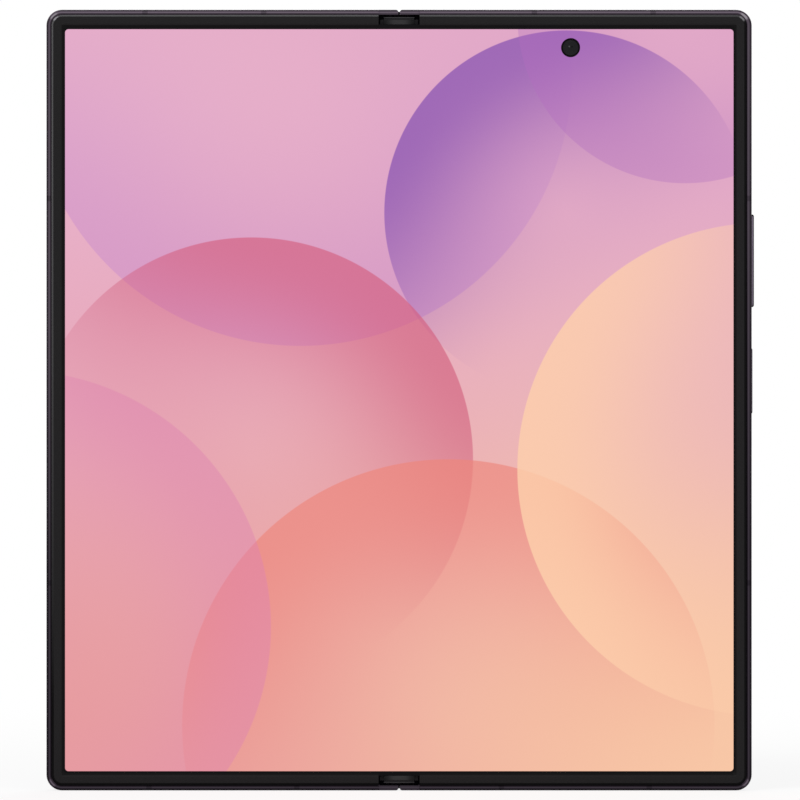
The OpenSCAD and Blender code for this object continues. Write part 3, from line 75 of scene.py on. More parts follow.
# %% Lengths that the new pieces share with the solids
half_w = 71.55
body_h = 158.4
mid_z = body_h / 2
corner_r = 3.2
rim_top_y = -3.3
screen_y = -2.95
panel_back_y = -2.5
plate_y = -2.25
groove_in = 1.04
rim_out = 1.3
rim_in = 2.9
lip_in = 3.5
panel_edge = 3.0
screen_r = 0.7
rim_start = 4.17
fold_w = 8.0
punch = (34.85, 150.77)
printed_ring = (34.79, 150.69)
print("half width and height:", half_w, body_h)

# %% [markdown]
# ## The camera
# The photograph looks straight at the open phone with almost no perspective, as a long
# lens far away does. A 300 mm lens is set back until 800 pixels span the width that the
# photograph's scale gives in the plane of the metal band, and then moved sideways by less
# than a millimetre, because the phone isn't quite in the middle of the picture.

# %% Camera
mm_per_pixel = 0.20314
picture = 800
lens = 300
sensor = 36
band_plane_y = -1.2
shift_x = 0.187
shift_z = 0.02
distance = picture * mm_per_pixel * lens / sensor
eye = bpy.data.cameras.new("eye")
eye.lens = lens
eye.sensor_width = sensor
eye.clip_end = 50
eye_object = bpy.data.objects.new("eye", eye)
eye_place = np.array([shift_x, band_plane_y - distance, mid_z + shift_z])
eye_object.location = eye_place * MM
eye_object.rotation_euler = (math.pi / 2, 0, 0)
bpy.context.scene.collection.objects.link(eye_object)
bpy.context.scene.camera = eye_object
bpy.context.scene.view_settings.view_transform = "Standard"
print("camera distance in mm:", round(distance, 1))

# %% [markdown]
# ## Shader maths written as Python
# A procedural material is a small calculation: where am I on the phone, and which colour,
# roughness and bump belong there? Laying that out node by node gets long. Here a socket is
# wrapped in a small class, so that `x * x + z * z` adds the Math nodes by itself. Every
# other node comes from one method, which sets the node's own settings before its sockets.

# %% A socket that does arithmetic
class Value:
    """An output socket of a finish. Arithmetic on it adds Math nodes to that finish."""

    def __init__(self, finish, socket):
        self.finish = finish
        self.socket = socket

    def math(self, operation, *others):
        """A Math node with that operation on this value and the others."""
        sockets = dict(enumerate((self, *others)))
        return self.finish.node("Math", {"operation": operation}, sockets)

    __add__ = __radd__ = partialmethod(math, "ADD")
    __mul__ = __rmul__ = partialmethod(math, "MULTIPLY")
    __sub__ = partialmethod(math, "SUBTRACT")
    __truediv__ = partialmethod(math, "DIVIDE")
    __pow__ = partialmethod(math, "POWER")
    __abs__ = partialmethod(math, "ABSOLUTE")
    at_least = partialmethod(math, "MAXIMUM")

    def __rsub__(self, other):
        return self.finish.node("Math", {"operation": "SUBTRACT"}, {0: other, 1: self})

    def ramp(self, low, high, shape="LINEAR"):
        """0 where the value is low, 1 where it is high, straight in between."""
        sockets = {"Value": self, "From Min": low, "From Max": high}
        return self.finish.node("MapRange", {"interpolation_type": shape}, sockets)

    def smooth(self, low, high):
        """0 where the value is low, 1 where it is high, with a soft step between them."""
        return self.ramp(low, high, "SMOOTHSTEP")

    def wave(self, pitch):
        """A smooth wave between 0 and 1 that repeats every pitch."""
        return (self * (2 * math.pi / pitch)).math("SINE") * 0.5 + 0.5

    def between(self, low, high, soft):
        """1 between low and high, 0 outside, with soft sides."""
        return self.smooth(low - soft, low + soft) * self.smooth(high + soft, high - soft)


def span(across, up):
    """How far away a point is that lies this far across and up."""
    return (across * across + up * up) ** 0.5


def past_sides(x, z, half_x, half_z):
    """How far a point lies past the straight sides of a rectangle, across and up."""
    return (abs(x) - half_x).at_least(0.0), (abs(z) - half_z).at_least(0.0)


# %% A tree of nodes under construction
class Finish:
    """The nodes of a material or a world. node() adds one and returns one of its outputs."""

    def __init__(self, name, owner=None):
        self.owner = owner or bpy.data.materials.new(name)
        self.owner.use_nodes = True
        self.tree = self.owner.node_tree
        self.tree.nodes.clear()

    def node(self, kind, settings=None, sockets=None, output=0):
        """A node of any kind: its own settings come first, then its sockets' values or links."""
        made = self.tree.nodes.new("ShaderNode" + kind)
        for setting, value in (settings or {}).items():
            setattr(made, setting, value)
        for socket, value in (sockets or {}).items():
            if isinstance(value, Value):
                self.tree.links.new(value.socket, made.inputs[socket])
            else:
                made.inputs[socket].default_value = value
        return Value(self, made.outputs[output]) if made.outputs else None

    @cached_property
    def place(self):
        """Where a point is on the phone, in millimetres: a vector."""
        here = self.node("TexCoord", output="Object")
        return self.node("VectorMath", {"operation": "SCALE"}, {0: here, "Scale": 1 / MM})

    def axes(self):
        """The place's three parts: across, depth and height."""
        node = self.node("SeparateXYZ", sockets={0: self.place}).socket.node
        return [Value(self, socket) for socket in node.outputs]

    def attribute(self, name, output):
        """A number or vector that the piece's own mesh carries."""
        return self.node("Attribute", {"attribute_name": name}, output=output)

    def noise(self, per_mm, detail=2.0, drawn=None):
        """Noise of 0 to 1 at the place, whose parts may be multiplied first by drawn."""
        place = self.place
        if drawn:
            place = self.node("VectorMath", {"operation": "MULTIPLY"}, {0: place, 1: drawn})
        sockets = {"Vector": place, "Scale": per_mm, "Detail": detail, "Roughness": 0.55}
        return self.node("TexNoise", sockets=sockets)

    def mix(self, mask, first, second):
        """The first colour where the mask is 0, the second where it is 1. A colour is a
        socket, or red, green and blue of 0 to 255 as a picture editor shows them."""
        sockets = {0: mask, 6: linear(first), 7: linear(second)}
        return self.node("Mix", {"data_type": "RGBA"}, sockets, output=2)

    def layers(self, colour, *layers):
        """A colour with others laid over it in turn, each given as its mask and colour."""
        for mask, tint in layers:
            colour = self.mix(mask, colour, tint)
        return colour

    def surface(self, colour, roughness, metallic=0.0, gloss=0.5, relief=None, more=None):
        """Ends the finish with a Principled surface and returns the material. relief is a
        height of 0 to 1, its depth in millimetres and its strength. more holds any further
        sockets."""
        sockets = {"Base Color": colour, "Roughness": roughness, "Metallic": metallic,
                   "Specular IOR Level": gloss, **(more or {})}
        if relief:
            height, depth_mm, strength = relief
            bump = {"Height": height, "Distance": depth_mm * MM, "Strength": strength}
            sockets["Normal"] = self.node("Bump", sockets=bump)
        shader = self.node("BsdfPrincipled", sockets=sockets)
        self.node("OutputMaterial", sockets={"Surface": shader})
        return self.owner


def begin(name):
    """A new finish with the place's parts: across, depth and height."""
    finish = Finish(name)
    return finish, *finish.axes()


def linear(colour):
    """A colour of 0 to 255 in the linear values of a shader. Sockets stay as they are."""
    if isinstance(colour, Value):
        return colour
    shown = np.array(colour) / 255
    values = np.where(shown <= 0.04045, shown / 12.92, ((shown + 0.055) / 1.055) ** 2.4)
    return (*values.tolist(), 1.0)


print("pink as a shader sees it:", [round(v, 3) for v in linear((233, 178, 200))])

# %% [markdown]
# ## Light and background
# The phone was photographed on pure white with soft light from the front and above. The world shows
# white to the camera and to reflections, and gives a lower, even light to everything else. Three
# large lamps add direction. The brightest hangs at the upper left and draws part of the fine
# highlights on the rounded edges there; the rest of them are painted highlights in the finishes. A
# weak one fills in from the right, and one lights the back.

# %% World and lamps
ambient = 0.55


def shows_background(finish):
    """1 for camera, glossy and transmission rays and 0 for the rest."""
    kinds = ("Camera", "Glossy", "Transmission")
    camera, glossy, through = [finish.node("LightPath", output=f"Is {k} Ray") for k in kinds]
    return camera.at_least(glossy).at_least(through)


studio = Finish("studio", bpy.data.worlds.new("studio"))
level = shows_background(studio) * (1.0 - ambient) + ambient
sky = studio.node("Background", sockets={"Color": (1, 1, 1, 1), "Strength": level})
studio.node("OutputWorld", sockets={"Surface": sky})
bpy.context.scene.world = studio.owner


def lamp(name, place, power, size):
    """A square lamp at a place in metres, turned towards the middle of the phone."""
    data = bpy.data.lights.new(name, "AREA")
    data.energy = power
    data.size = size
    made = bpy.data.objects.new(name, data)
    bpy.context.scene.collection.objects.link(made)
    made.location = place
    x, y, z = place
    made.rotation_euler = (math.atan2(math.hypot(x, y), z - mid_z * MM), 0, math.atan2(x, -y))


lamp("key", (-0.55, -0.65, 0.85), 4.5, 0.45)
lamp("fill", (0.7, -0.75, 0.35), 1.6, 0.6)
lamp("back", (0.2, 0.9, 0.6), 4.0, 0.6)

# %% [markdown]
# ## The floor
# The floor keeps the phone's soft shadow. Close to the phone it is part white paint and
# part plain white. Further away it is plain white, so that no horizon shows.

# %% Floor
floor_mesh = bpy.data.meshes.new("floor")
reach = 12.0
corners = [(-reach, -reach, 0), (reach, -reach, 0), (reach, reach, 0), (-reach, reach, 0)]
floor_mesh.from_pydata(corners, [], [(0, 1, 2, 3)])
floor = bpy.data.objects.new("floor", floor_mesh)
bpy.context.scene.collection.objects.link(floor)
paint = Finish("floor_paint")
floor_x, floor_y, _ = paint.axes()
share_white = span(floor_x, floor_y).smooth(120, 420) * 0.2 + 0.8
plain = shows_background(paint) * share_white
matt = paint.node("BsdfDiffuse", sockets={"Color": (0.92, 0.92, 0.92, 1)})
white = paint.node("Emission", sockets={"Color": (1, 1, 1, 1), "Strength": 1.0})
mixed = paint.node("MixShader", sockets={0: plain, 1: matt, 2: white})
paint.node("OutputMaterial", sockets={"Surface": mixed})
floor_mesh.materials.append(paint.owner)
print("floor reaches", reach, "m each way")

# %% [markdown]
# ## Surfaces from arrays
# Most of the new shapes are one outline carried along a path. One helper turns a block of
# points, one closed loop per station, into a mesh whose doubles are merged.

# %% Loops of points into a mesh
def sweep(name, loops, ring=False):
    """A surface through closed loops of points in millimetres: loops[i][k] is point k of
    loop i. Neighbouring loops are joined by four-sided faces. With ring, the last loop is
    joined to the first, and otherwise a face closes each end."""
    loops = np.array(loops)
    stations, points, _ = loops.shape
    i = np.arange(stations if ring else stations - 1)[:, None]
    k = np.arange(points)[None, :]
    after_i = (i + 1) % stations
    after_k = (k + 1) % points
    sides = [i * points + k, after_i * points + k, after_i * points + after_k, i * points + after_k]
    faces = np.stack(sides, axis=-1).reshape(-1, 4).tolist()
    if not ring:
        faces.append(list(range(points)))
        faces.append(list(range((stations - 1) * points, stations * points)))
    mesh = bpy.data.meshes.new(name)
    mesh.from_pydata((loops.reshape(-1, 3) * MM).tolist(), [], faces)
    return closed_piece(name, mesh)


def closed_piece(name, mesh):
    """An object from a mesh, with its doubles merged, its faces outwards and its soft
    edges smooth."""
    sharp_deg = 35
    build = bmesh.new()
    build.from_mesh(mesh)
    bmesh.ops.remove_doubles(build, verts=build.verts, dist=1e-7)
    bmesh.ops.recalc_face_normals(build, faces=build.faces)
    build.to_mesh(mesh)
    build.free()
    mesh.polygons.foreach_set("use_smooth", np.ones(len(mesh.polygons), bool))
    mesh.set_sharp_from_angle(angle=math.radians(sharp_deg))
    piece = bpy.data.objects.new(name, mesh)
    bpy.context.scene.collection.objects.link(piece)
    return piece


def points_of(piece):
    """The places of a piece's points at rest, in millimetres."""
    places = np.zeros(len(piece.data.vertices) * 3)
    piece.data.vertices.foreach_get("co", places)
    return places.reshape(-1, 3) / MM


def stacked(x, y, z):
    """Points from their three parts, each a number or an array that fits the others."""
    return np.stack(np.broadcast_arrays(x, y, z), axis=-1)


def arc(centre, radius, start_deg, stop_deg, steps):
    """Points on a circle from one angle to another, both ends included."""
    angle = np.radians(np.linspace(start_deg, stop_deg, steps))
    return np.stack([centre[0] + radius * np.cos(angle), centre[1] + radius * np.sin(angle)], -1)


print("a quarter circle of 5 points:", arc((0, 0), 1, 0, 90, 5).round(2).tolist())

# %% [markdown]
# ## The rim round the screen
# On the real phone the rim is a moulded black strip glued round each half of the soft screen. It
# stops short of the fold. Its outer shoulder is rounded, hangs a little over the groove beside the
# metal band and catches the light, to which the finish adds a painted highlight; its top is flat
# and matt, and a thin lip slopes down onto the screen. The section is drawn once and carried round
# the screen.

# %% Section and path of the rim
def half_path(inset, radius):
    """Points round one half's outline, moved in by inset, with round outer corners: along
    the top from beside the fold, down the outer side and back along the bottom."""
    top = body_h - inset
    corner_x = half_w - inset - radius
    upper = arc((corner_x, top - radius), radius, 90, 0, 13)
    lower = arc((corner_x, inset + radius), radius, 0, -90, 13)
    return np.concatenate([[[rim_start, top]], upper, lower, [[rim_start, inset]]])


def rim_section():
    """Points of the rim's section as (inset, depth): round the shoulder, along the flat
    top, down the sloping lip, back underneath and up the outer wall."""
    shoulder_r = 0.36
    inner_r = 0.12
    shoulder = arc((groove_in + shoulder_r, rim_top_y + shoulder_r), shoulder_r, 180, 270, 11)
    inner = arc((rim_in - 0.1, rim_top_y + inner_r), inner_r, 270, 320, 5)
    lip = [[lip_in - 0.02, screen_y - 0.06], [lip_in, screen_y - 0.03], [lip_in, screen_y]]
    under = [[rim_in, screen_y], [rim_in, plate_y], [rim_out, plate_y]]
    overhang = [[rim_out, -2.66], [groove_in + 0.06, -2.74], [groove_in, -2.8]]
    return np.concatenate([shoulder, inner, lip, under, overhang])


def rim(name, side):
    """The rim of one half: each point of the section follows its own offset path."""
    section = rim_section()
    radii = np.maximum(corner_r - section[:, 0], screen_r)
    paths = np.stack([half_path(inset, r) for inset, r in zip(section[:, 0], radii)], axis=1)
    return sweep(name, stacked(paths[:, :, 0] * side, section[:, 1], paths[:, :, 1]))


rims = {"right": rim("rim_right", 1), "left": rim("rim_left", -1)}
for side, body in (("right", "main_half"), ("left", "cover_half")):
    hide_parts("screen_rim_" + side)
    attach(rims[side], body)
print("faces of a rim:", len(rims["right"].data.polygons))

# %% [markdown]
# ## The part of the screen that bends
# The screen is one continuous sheet on the real phone. Its two flat parts are solids that ride on
# the halves, and the strip between them has to bend. It is made as two slabs that meet at the fold
# line, each cut into strips. The slabs remember where each point lies at rest, because the picture
# on them must not slide.

# %% Slabs that bend
def remember_place(piece):
    """Stores each point's place at rest, in millimetres, on the mesh itself."""
    stored = piece.data.attributes.new("rest_place", "FLOAT_VECTOR", "POINT")
    stored.data.foreach_set("vector", points_of(piece).ravel())


def slab(name, side, reach, front, back, low, high, steps=24):
    """A thin slab from the fold line out to reach, cut into strips that can bend. Its
    section is the front line out and the back line in, carried up from low to high."""
    out = np.linspace(0, reach, steps) * side
    depth = np.repeat([front, back], steps)
    piece = sweep(name, stacked([*out, *out[::-1]], depth, [[low], [high]]))
    remember_place(piece)
    return piece


def bends(piece):
    """Bakes the piece's transform into its mesh."""
    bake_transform(piece)


strips = []
for side, word in ((1, "right"), (-1, "left")):
    strip = slab("screen_fold_" + word, side, fold_w / 2, screen_y, panel_back_y,
                 panel_edge, body_h - panel_edge)
    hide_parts("screen_fold_strip")
    bends(strip)
    strips.append(strip)
print("bending screen strips:", [s.name for s in strips])

# %% [markdown]
# The steel sheet behind that strip is cut into a lattice so that it bends as easily as the
# screen does. A grid of cells gives it its slots: the cells that fall in a slot are left
# out, and a Solidify modifier gives the rest its thickness. The two flat cables that cross
# the hinge are plain slabs again.

# %% Lattice and flat cables
lattice_t = 0.25
slot_w = 0.3
slot_l = 9.0
slot_pitch_x = 1.2
slot_pitch_z = 12.0
slot_rows = 5
cell_lines = 9


def lattice(name, side):
    """Half of the slotted sheet as a grid of cells, with those in a slot left out."""
    slot_x = np.array([0, 1, 2]) * slot_pitch_x
    slot_z = mid_z + np.arange(-slot_rows, slot_rows + 1) * slot_pitch_z
    even_x = np.linspace(0, fold_w / 2, cell_lines)
    ends_z = [panel_edge, body_h - panel_edge]
    x = np.unique(np.concatenate([even_x, slot_x + slot_w / 2, slot_x[1:] - slot_w / 2]))
    z = np.unique(np.concatenate([ends_z, slot_z - slot_l / 2, slot_z + slot_l / 2]))
    mid_x = (x[1:] + x[:-1]) / 2
    mid_cell_z = (z[1:] + z[:-1]) / 2
    in_x = (np.abs(mid_x[:, None] - slot_x) < slot_w / 2).any(axis=1)
    in_z = (np.abs(mid_cell_z[:, None] - slot_z) < slot_l / 2).any(axis=1)
    kept_i, kept_k = np.nonzero(~(in_x[:, None] & in_z[None, :]))
    first = kept_i * len(z) + kept_k
    faces = np.stack([first, first + len(z), first + len(z) + 1, first + 1], -1)
    grid_x, grid_z = np.meshgrid(x * side, z, indexing="ij")
    points = stacked(grid_x, (panel_back_y + plate_y) / 2, grid_z).reshape(-1, 3)
    mesh = bpy.data.meshes.new(name)
    mesh.from_pydata((points * MM).tolist(), [], faces.tolist())
    piece = closed_piece(name, mesh)
    remember_place(piece)
    wall = piece.modifiers.new("thickness", "SOLIDIFY")
    wall.thickness = lattice_t * MM
    wall.offset = 0
    return piece


flex_heights = {"lower": mid_z - 24, "upper": mid_z + 24}
flex_w = 8.0
flex_front = -1.77
flex_back = -1.65
flex_reach = 9.0
sheets = []
cables = []
for side, word in ((1, "right"), (-1, "left")):
    sheet = lattice("fold_lattice_" + word, side)
    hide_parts("fold_lattice")
    bends(sheet)
    sheets.append(sheet)
    for place, height in flex_heights.items():
        cable = slab(f"hinge_flex_{place}_{word}", side, flex_reach, flex_front, flex_back,
                     height - flex_w / 2, height + flex_w / 2, steps=37)
        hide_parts("hinge_flex_cables")
        bends(cable)
        cables.append(cable)
print("sheets and cables:", len(sheets), len(cables))

# %% [markdown]
# ## Soft caps over the fold's ends
# At each end of the fold a soft rubber cap covers the hinge. It is crowned across the
# fold, and a shallow groove sets off a thin bead along its outer edge. Each station along
# the fold carries the same crowned line, sunk where the groove and the rounded edges are.
# A low shoulder sticks out on both sides of it. Beyond each cap the two halves' end walls
# almost meet. A thin rubber lip on one of them fills the seam, so that no light shows
# through it.

# %% Fold caps and seam lips
cap_half_w = 3.1
shoulder_half_w = 3.87
cap_top_y = -3.05
cap_foot_y = -2.0
cap_groove = (77.12, 77.48)
cap_bead = (77.54, 77.7)
cap_stations = (
    # distance from the middle of the phone and how far the crown is sunk there
    (76.215, 0.05), (76.225, 0.01), (76.24, 0.0), (77.08, 0.0),
    (77.12, 0.03), (77.16, 0.14), (77.44, 0.14), (77.48, 0.03),
    (77.52, 0.0), (77.60, 0.0), (77.64, 0.04), (77.68, 0.12), (77.70, 0.24),
)
seam_half = 0.15
lip_back_y = 0.6


def fold_cap(name, way):
    """A crowned block above (way 1) or below (way -1) the middle of the phone. The front
    falls off as the square of the way across, and by a high power at the very sides."""
    crown = 0.16
    rounding = 0.14
    across = np.sin(np.linspace(-np.pi / 2, np.pi / 2, 25))
    front = cap_top_y + crown * across ** 2 + rounding * np.abs(across) ** 12
    loops = []
    for distance, sink in cap_stations:
        x = across * (cap_half_w - 0.3 * sink)
        z = mid_z + way * distance
        top = stacked(x, front + sink, z)
        foot = [[x[-1], cap_foot_y, z], [x[0], cap_foot_y, z]]
        loops.append(np.concatenate([top, foot]))
    return sweep(name, loops)


def bar(name, way, left, right, stations):
    """A straight-sided block along the fold. Each station is its distance from the middle
    of the phone, its front and its back."""
    loops = []
    for distance, front, back in stations:
        z = mid_z + way * distance
        loops.append([[left, front, z], [right, front, z], [right, back, z], [left, back, z]])
    return sweep(name, loops)


def cap_shoulder(name, way):
    """A low flat block that sticks out on both sides of the cap, towards the two rims."""
    low, high, soft = 76.22, 77.2, 0.05
    front, back = -2.5, -2.12
    stations = [(low, front, back), (high - soft, front, back), (high, front + soft, back)]
    return bar(name, way, -shoulder_half_w, shoulder_half_w, stations)


def seam_lip(name, way):
    """A thin lip across the seam, its outer edge rounded. It reaches a little into the left
    wall and stops a little short of the right one."""
    low, high, soft = 78.10, 78.85, 0.14
    stations = [(low, cap_foot_y, lip_back_y)]
    for turn in np.radians(np.linspace(0, 90, 6)):
        inward = soft * (1 - np.cos(turn))
        outward = high - soft + soft * np.sin(turn)
        stations.append((outward, cap_foot_y + inward, lip_back_y - inward))
    return bar(name, way, -seam_half - 0.005, seam_half - 0.002, stations)


caps = []
for word, way in (("top", 1), ("bottom", -1)):
    cap = fold_cap("fold_cap_" + word, way)
    shoulder = cap_shoulder("fold_cap_shoulder_" + word, way)
    lip = seam_lip("seam_lip_" + word, way)
    for piece in (cap, shoulder):
        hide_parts("fold_end_caps")
        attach(piece, "hinge_spine")
    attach(lip, "cover_half")
    caps += [cap, shoulder, lip]
print("caps and lips:", [c.name for c in caps])

# %% [markdown]
# ## Keys
# The keys are milled from the same aluminium as the band, with a rounded edge. Each is a
# pill-shaped loop carried outwards from its retaining flange behind the band, and drawn in
# along a quarter circle at its outer face.

# %% Keys
key_depth_y = -1.05
key_half_w = 0.7
key_foot_x = 70.05
flange_extra = 0.5
keys = {
    # middle above the foot, half length, how far out, outer side of the flange
    "volume_key": (107.5, 9.4, 0.52, 70.33),
    "side_key": (83.1, 6.6, 0.22, 70.5),
}


def pill(half_length, radius):
    """Points round a pill shape as (depth, height) from its middle."""
    centre = half_length - key_half_w
    upper = arc((0, centre), radius, 0, 180, 13)
    lower = arc((0, -centre), radius, 180, 360, 13)
    return np.concatenate([upper, lower])


def key_piece(name, middle, half_length, out, flange_x):
    """A key with its flange: (across, drawn in, extra length) at each station."""
    soft = min(0.34, out)
    turn = np.radians(np.linspace(0, 90, 7))
    face_x = half_w + out
    stations = [(key_foot_x, 0, flange_extra), (flange_x, 0, flange_extra), (flange_x, 0, 0)]
    stations += [(face_x - soft * (1 - np.sin(t)), soft * (1 - np.cos(t)), 0) for t in turn]
    loops = []
    for x, drawn_in, extra in stations:
        depth, height = pill(half_length + extra, key_half_w - drawn_in).T
        loops.append(stacked(x, key_depth_y + depth, middle + height))
    return sweep(name, loops)


key_pieces = {}
for word, (middle, half_length, out, flange_x) in keys.items():
    key_pieces[word] = key_piece(word + "_metal", middle, half_length, out, flange_x)
    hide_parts(word)
    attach(key_pieces[word], word)
print("keys:", list(key_pieces))

# %% [markdown]
# ## Cameras
# Behind each lens glass the real camera is a stepped black funnel with a domed glass
# element at its bottom. A section given as radius and depth is turned round the camera's
# axis. Each point keeps its radius as an attribute, by which the camera finish tells the
# coated dome from the black funnel.

# %% A turned shape
def turned(name, section, centre, steps=64):
    """The section, points of (radius, depth) from the axis out and back to the axis,
    carried round an axis along Y through centre = (across, height)."""
    angle = np.linspace(0, 2 * np.pi, steps, endpoint=False)[:, None]
    out, depth = section.T
    x = centre[0] + out * np.cos(angle)
    z = centre[1] + out * np.sin(angle)
    piece = sweep(name, stacked(x, depth, z), ring=True)
    places = points_of(piece)
    radius = np.hypot(places[:, 0] - centre[0], places[:, 2] - centre[1])
    stored = piece.data.attributes.new("radius", "FLOAT", "POINT")
    stored.data.foreach_set("value", radius)
    return piece


def camera_section(outer, dome_r, front, back, way):
    """Dome, stepped funnel, front ring and outer wall. way is 1 for a camera that looks
    towards +Y and -1 for one that looks towards -Y."""
    deep = front - way * outer / 15
    dome = np.linspace(0, 1, 9)
    rise = way * 0.08 * dome_r
    parts = [np.stack([dome * dome_r, deep + rise * (1 - dome ** 2)], -1)]
    steps = np.linspace(dome_r + outer / 60, 0.86 * outer, 5)
    depths = np.linspace(deep + way * 0.04, front - way * 0.03, 4)
    for inner_r, outer_r, depth in zip(steps[:-1], steps[1:], depths):
        parts.append([[inner_r, depth], [outer_r - 0.01, depth]])
    parts.append([[0.87 * outer, front], [0.96 * outer, front], [outer, front - way * 0.12]])
    parts.append([[outer, back], [0, back]])
    return np.concatenate(parts)


# %% [markdown]
# The rear cameras sit on square bodies between the glass and the screen's plate. A loop
# with rounded corners, drawn in a little at its front and back, makes such a body.

# %% Rear cameras and the inner camera
island_x = 57.7
island_z = 125.2
camera_pitch = 18.4
barrel_front = 2.6
barrel_back = 0.14
body_front = 0.15
body_back = -1.85
body_w = 12.5


def square_loop(half, radius):
    """Points round a square with rounded corners."""
    inner = half - radius
    quarters = ((1, 1, 0), (-1, 1, 90), (-1, -1, 180), (1, -1, 270))
    corners = [arc((x * inner, z * inner), radius, turn, turn + 90, 7) for x, z, turn in quarters]
    return np.concatenate(corners)


def square_body(name, centre, half, front, back, radius=1.0):
    """A block with rounded corners and softened edges, centred at (across, height)."""
    soft = 0.15 if front > back else -0.15
    drawn_in = 0.12
    loops = []
    stations = ((back, drawn_in), (back + soft, 0), (front - soft, 0), (front, drawn_in))
    for depth, inward in stations:
        x, z = square_loop(half - inward, radius).T
        loops.append(stacked(centre[0] + x, depth, centre[1] + z))
    return sweep(name, loops)


rear_cameras = (
    # name, place on the island, radius of the barrel, radius of the dome
    ("tele", -1, 4.5, 1.5),
    ("wide", 0, 4.8, 2.3),
    ("ultrawide", 1, 4.2, 1.25),
)
barrels = {}
blocks = []
for word, place, barrel_r, dome_r in rear_cameras:
    centre = (island_x, island_z + place * camera_pitch)
    section = camera_section(barrel_r, dome_r, barrel_front, barrel_back, 1)
    barrels[word] = turned(word + "_camera_barrel", section, centre)
    block = square_body(word + "_camera_body", centre, body_w / 2, body_front, body_back)
    blocks.append(block)

inner_r = 1.83
inner_dome_r = 0.5
inner_section = camera_section(inner_r, inner_dome_r, -2.69, -1.84, -1)
barrels["inner"] = turned("inner_camera_barrel", inner_section, punch, steps=48)
blocks.append(square_body("inner_camera_body", punch, 3.3, -1.85, 0.05, radius=0.6))
for word, barrel in barrels.items():
    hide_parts(word + "_camera")
for piece in (*barrels.values(), *blocks):
    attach(piece, "main_half")
print("camera pieces:", len(barrels) + len(blocks))

# %% [markdown]
# ## The picture on the screen
# The screen shows a soft wallpaper. This one is a generic design: four colours run into
# each other from corner to corner, and large translucent discs lie over them. Each disc has
# one crisp edge and fades away from it. It is drawn from the place on the phone in
# millimetres, so it crosses the fold without a seam. The lit area ends short of the panel's
# edge, where a black border shows, and leaves out a ring round the inner camera.
#
# Every finish is filed in one table of looks, under the name of the material slot or of
# the single node that it is for.

# %% Wallpaper
lit_half_w = 67.8
lit_half_h = 75.26
lit_shift_x = 0.04
lit_shift_z = -0.02
lit_strength = 0.98
hole_edge = (1.90, 1.96)
glass_sheen = 0.06
discs = (
    # centre across and above the middle, radius, side that is crisp, fade, colour, strength
    (-20, 66, 55, 262, 58, (196, 132, 204), 0.45),
    (34, 38, 37, 128, 52, (136, 78, 178), 0.80),
    (-30, -12, 45, 58, 52, (212, 92, 126), 0.72),
    (10, -66, 54, 104, 58, (238, 134, 122), 0.70),
    (74, -14, 50, 176, 54, (255, 208, 172), 0.80),
    (-78, -46, 52, 18, 40, (222, 128, 176), 0.45),
    (58, 78, 34, 238, 34, (178, 108, 190), 0.40),
)


def crescent(x, z, centre_x, centre_z, radius, facing_deg, fade):
    """1 just inside the disc's edge on the side it faces, fading inwards and round it."""
    dx = x - centre_x
    dz = z - centre_z
    facing = math.radians(facing_deg)
    away = span(dx, dz)
    inside = away.smooth(radius + 0.1, radius - 0.1)
    glow = away.smooth(radius - fade, radius)
    towards = dx * math.cos(facing) + dz * math.sin(facing)
    return inside * glow * towards.smooth(-0.5 * radius, 0.85 * radius)


def wallpaper(finish, x, z):
    """The wallpaper's colour at a place across and above the middle, in millimetres."""
    left_to_right = x.smooth(-75, 70)
    low = finish.mix(left_to_right, (232, 156, 160), (249, 199, 166))
    high = finish.mix(left_to_right, (233, 177, 202), (226, 168, 200))
    colour = finish.mix(z.smooth(-70, 60), low, high)
    for *disc, tint, strength in discs:
        colour = finish.mix(crescent(x, z, *disc) * strength, colour, tint)
    return colour


def screen_finish(name, follows_mesh):
    """A lit screen under a glossy film. follows_mesh reads the place that a bending piece
    remembers, in place of where the point is now."""
    finish = Finish(name)
    if follows_mesh:
        finish.place = finish.attribute("rest_place", "Vector")
    x, depth, height = finish.axes()
    z = height - mid_z
    corner_x = lit_half_w - screen_r
    corner_z = lit_half_h - screen_r
    past = span(*past_sides(x - lit_shift_x, z - lit_shift_z, corner_x, corner_z))
    hole = span(x - printed_ring[0], height - printed_ring[1])
    lit = past.smooth(screen_r + 0.03, screen_r - 0.03) * hole.smooth(*hole_edge)
    lit = lit * depth.smooth(screen_y + 0.06, screen_y + 0.02)
    glow = finish.mix(lit, (0, 0, 0), wallpaper(finish, x, z))
    film = finish.noise(0.35)
    colour = finish.mix(film, (9, 8, 10), (14, 12, 15))
    light = {"Emission Color": glow, "Emission Strength": lit_strength}
    return finish.surface(colour, film * 0.05 + 0.08, gloss=glass_sheen, more=light)


looks = {"inner_screen": screen_finish("lit_screen", False)}
bent_screen = screen_finish("lit_screen_fold", True)
print("wallpaper nodes:", len(bent_screen.node_tree.nodes))

# %% [markdown]
# ## Anodised metal
# The band, the hinge cover, the keys and the card tray are blasted aluminium with a dark
# plum dye. The grain of the blasting is a fine noise in colour, roughness and bump.
#
# The front of the band is crowned. In the photograph a line along its crown is bright at the top,
# fades down the left side and is fainter down the right one. The corners glint, most of all the
# upper two. Lamps strong enough for that would bleach everything else, so half of it is painted
# highlight and shade: the distance from the body's edge tells where the crown is, and the place on
# the phone tells which side it is on. The plastic of the antenna breaks carries the same painted
# lines, a little darker. Inside the band, the groove and the pockets at the fold's ends are painted
# black as shade.

# %% Metal finishes
dye = ((62, 54, 64), (94, 85, 96))
# Near black: painted shade in the groove and the pockets, and the darker dye of the antenna
# plastic.
dye_and_shade_black = (4, 3, 5)
slot_shade = (8, 6, 8)
edge_w = (2.8, 1.4)
crown_out = 0.38
crown_in = 0.68


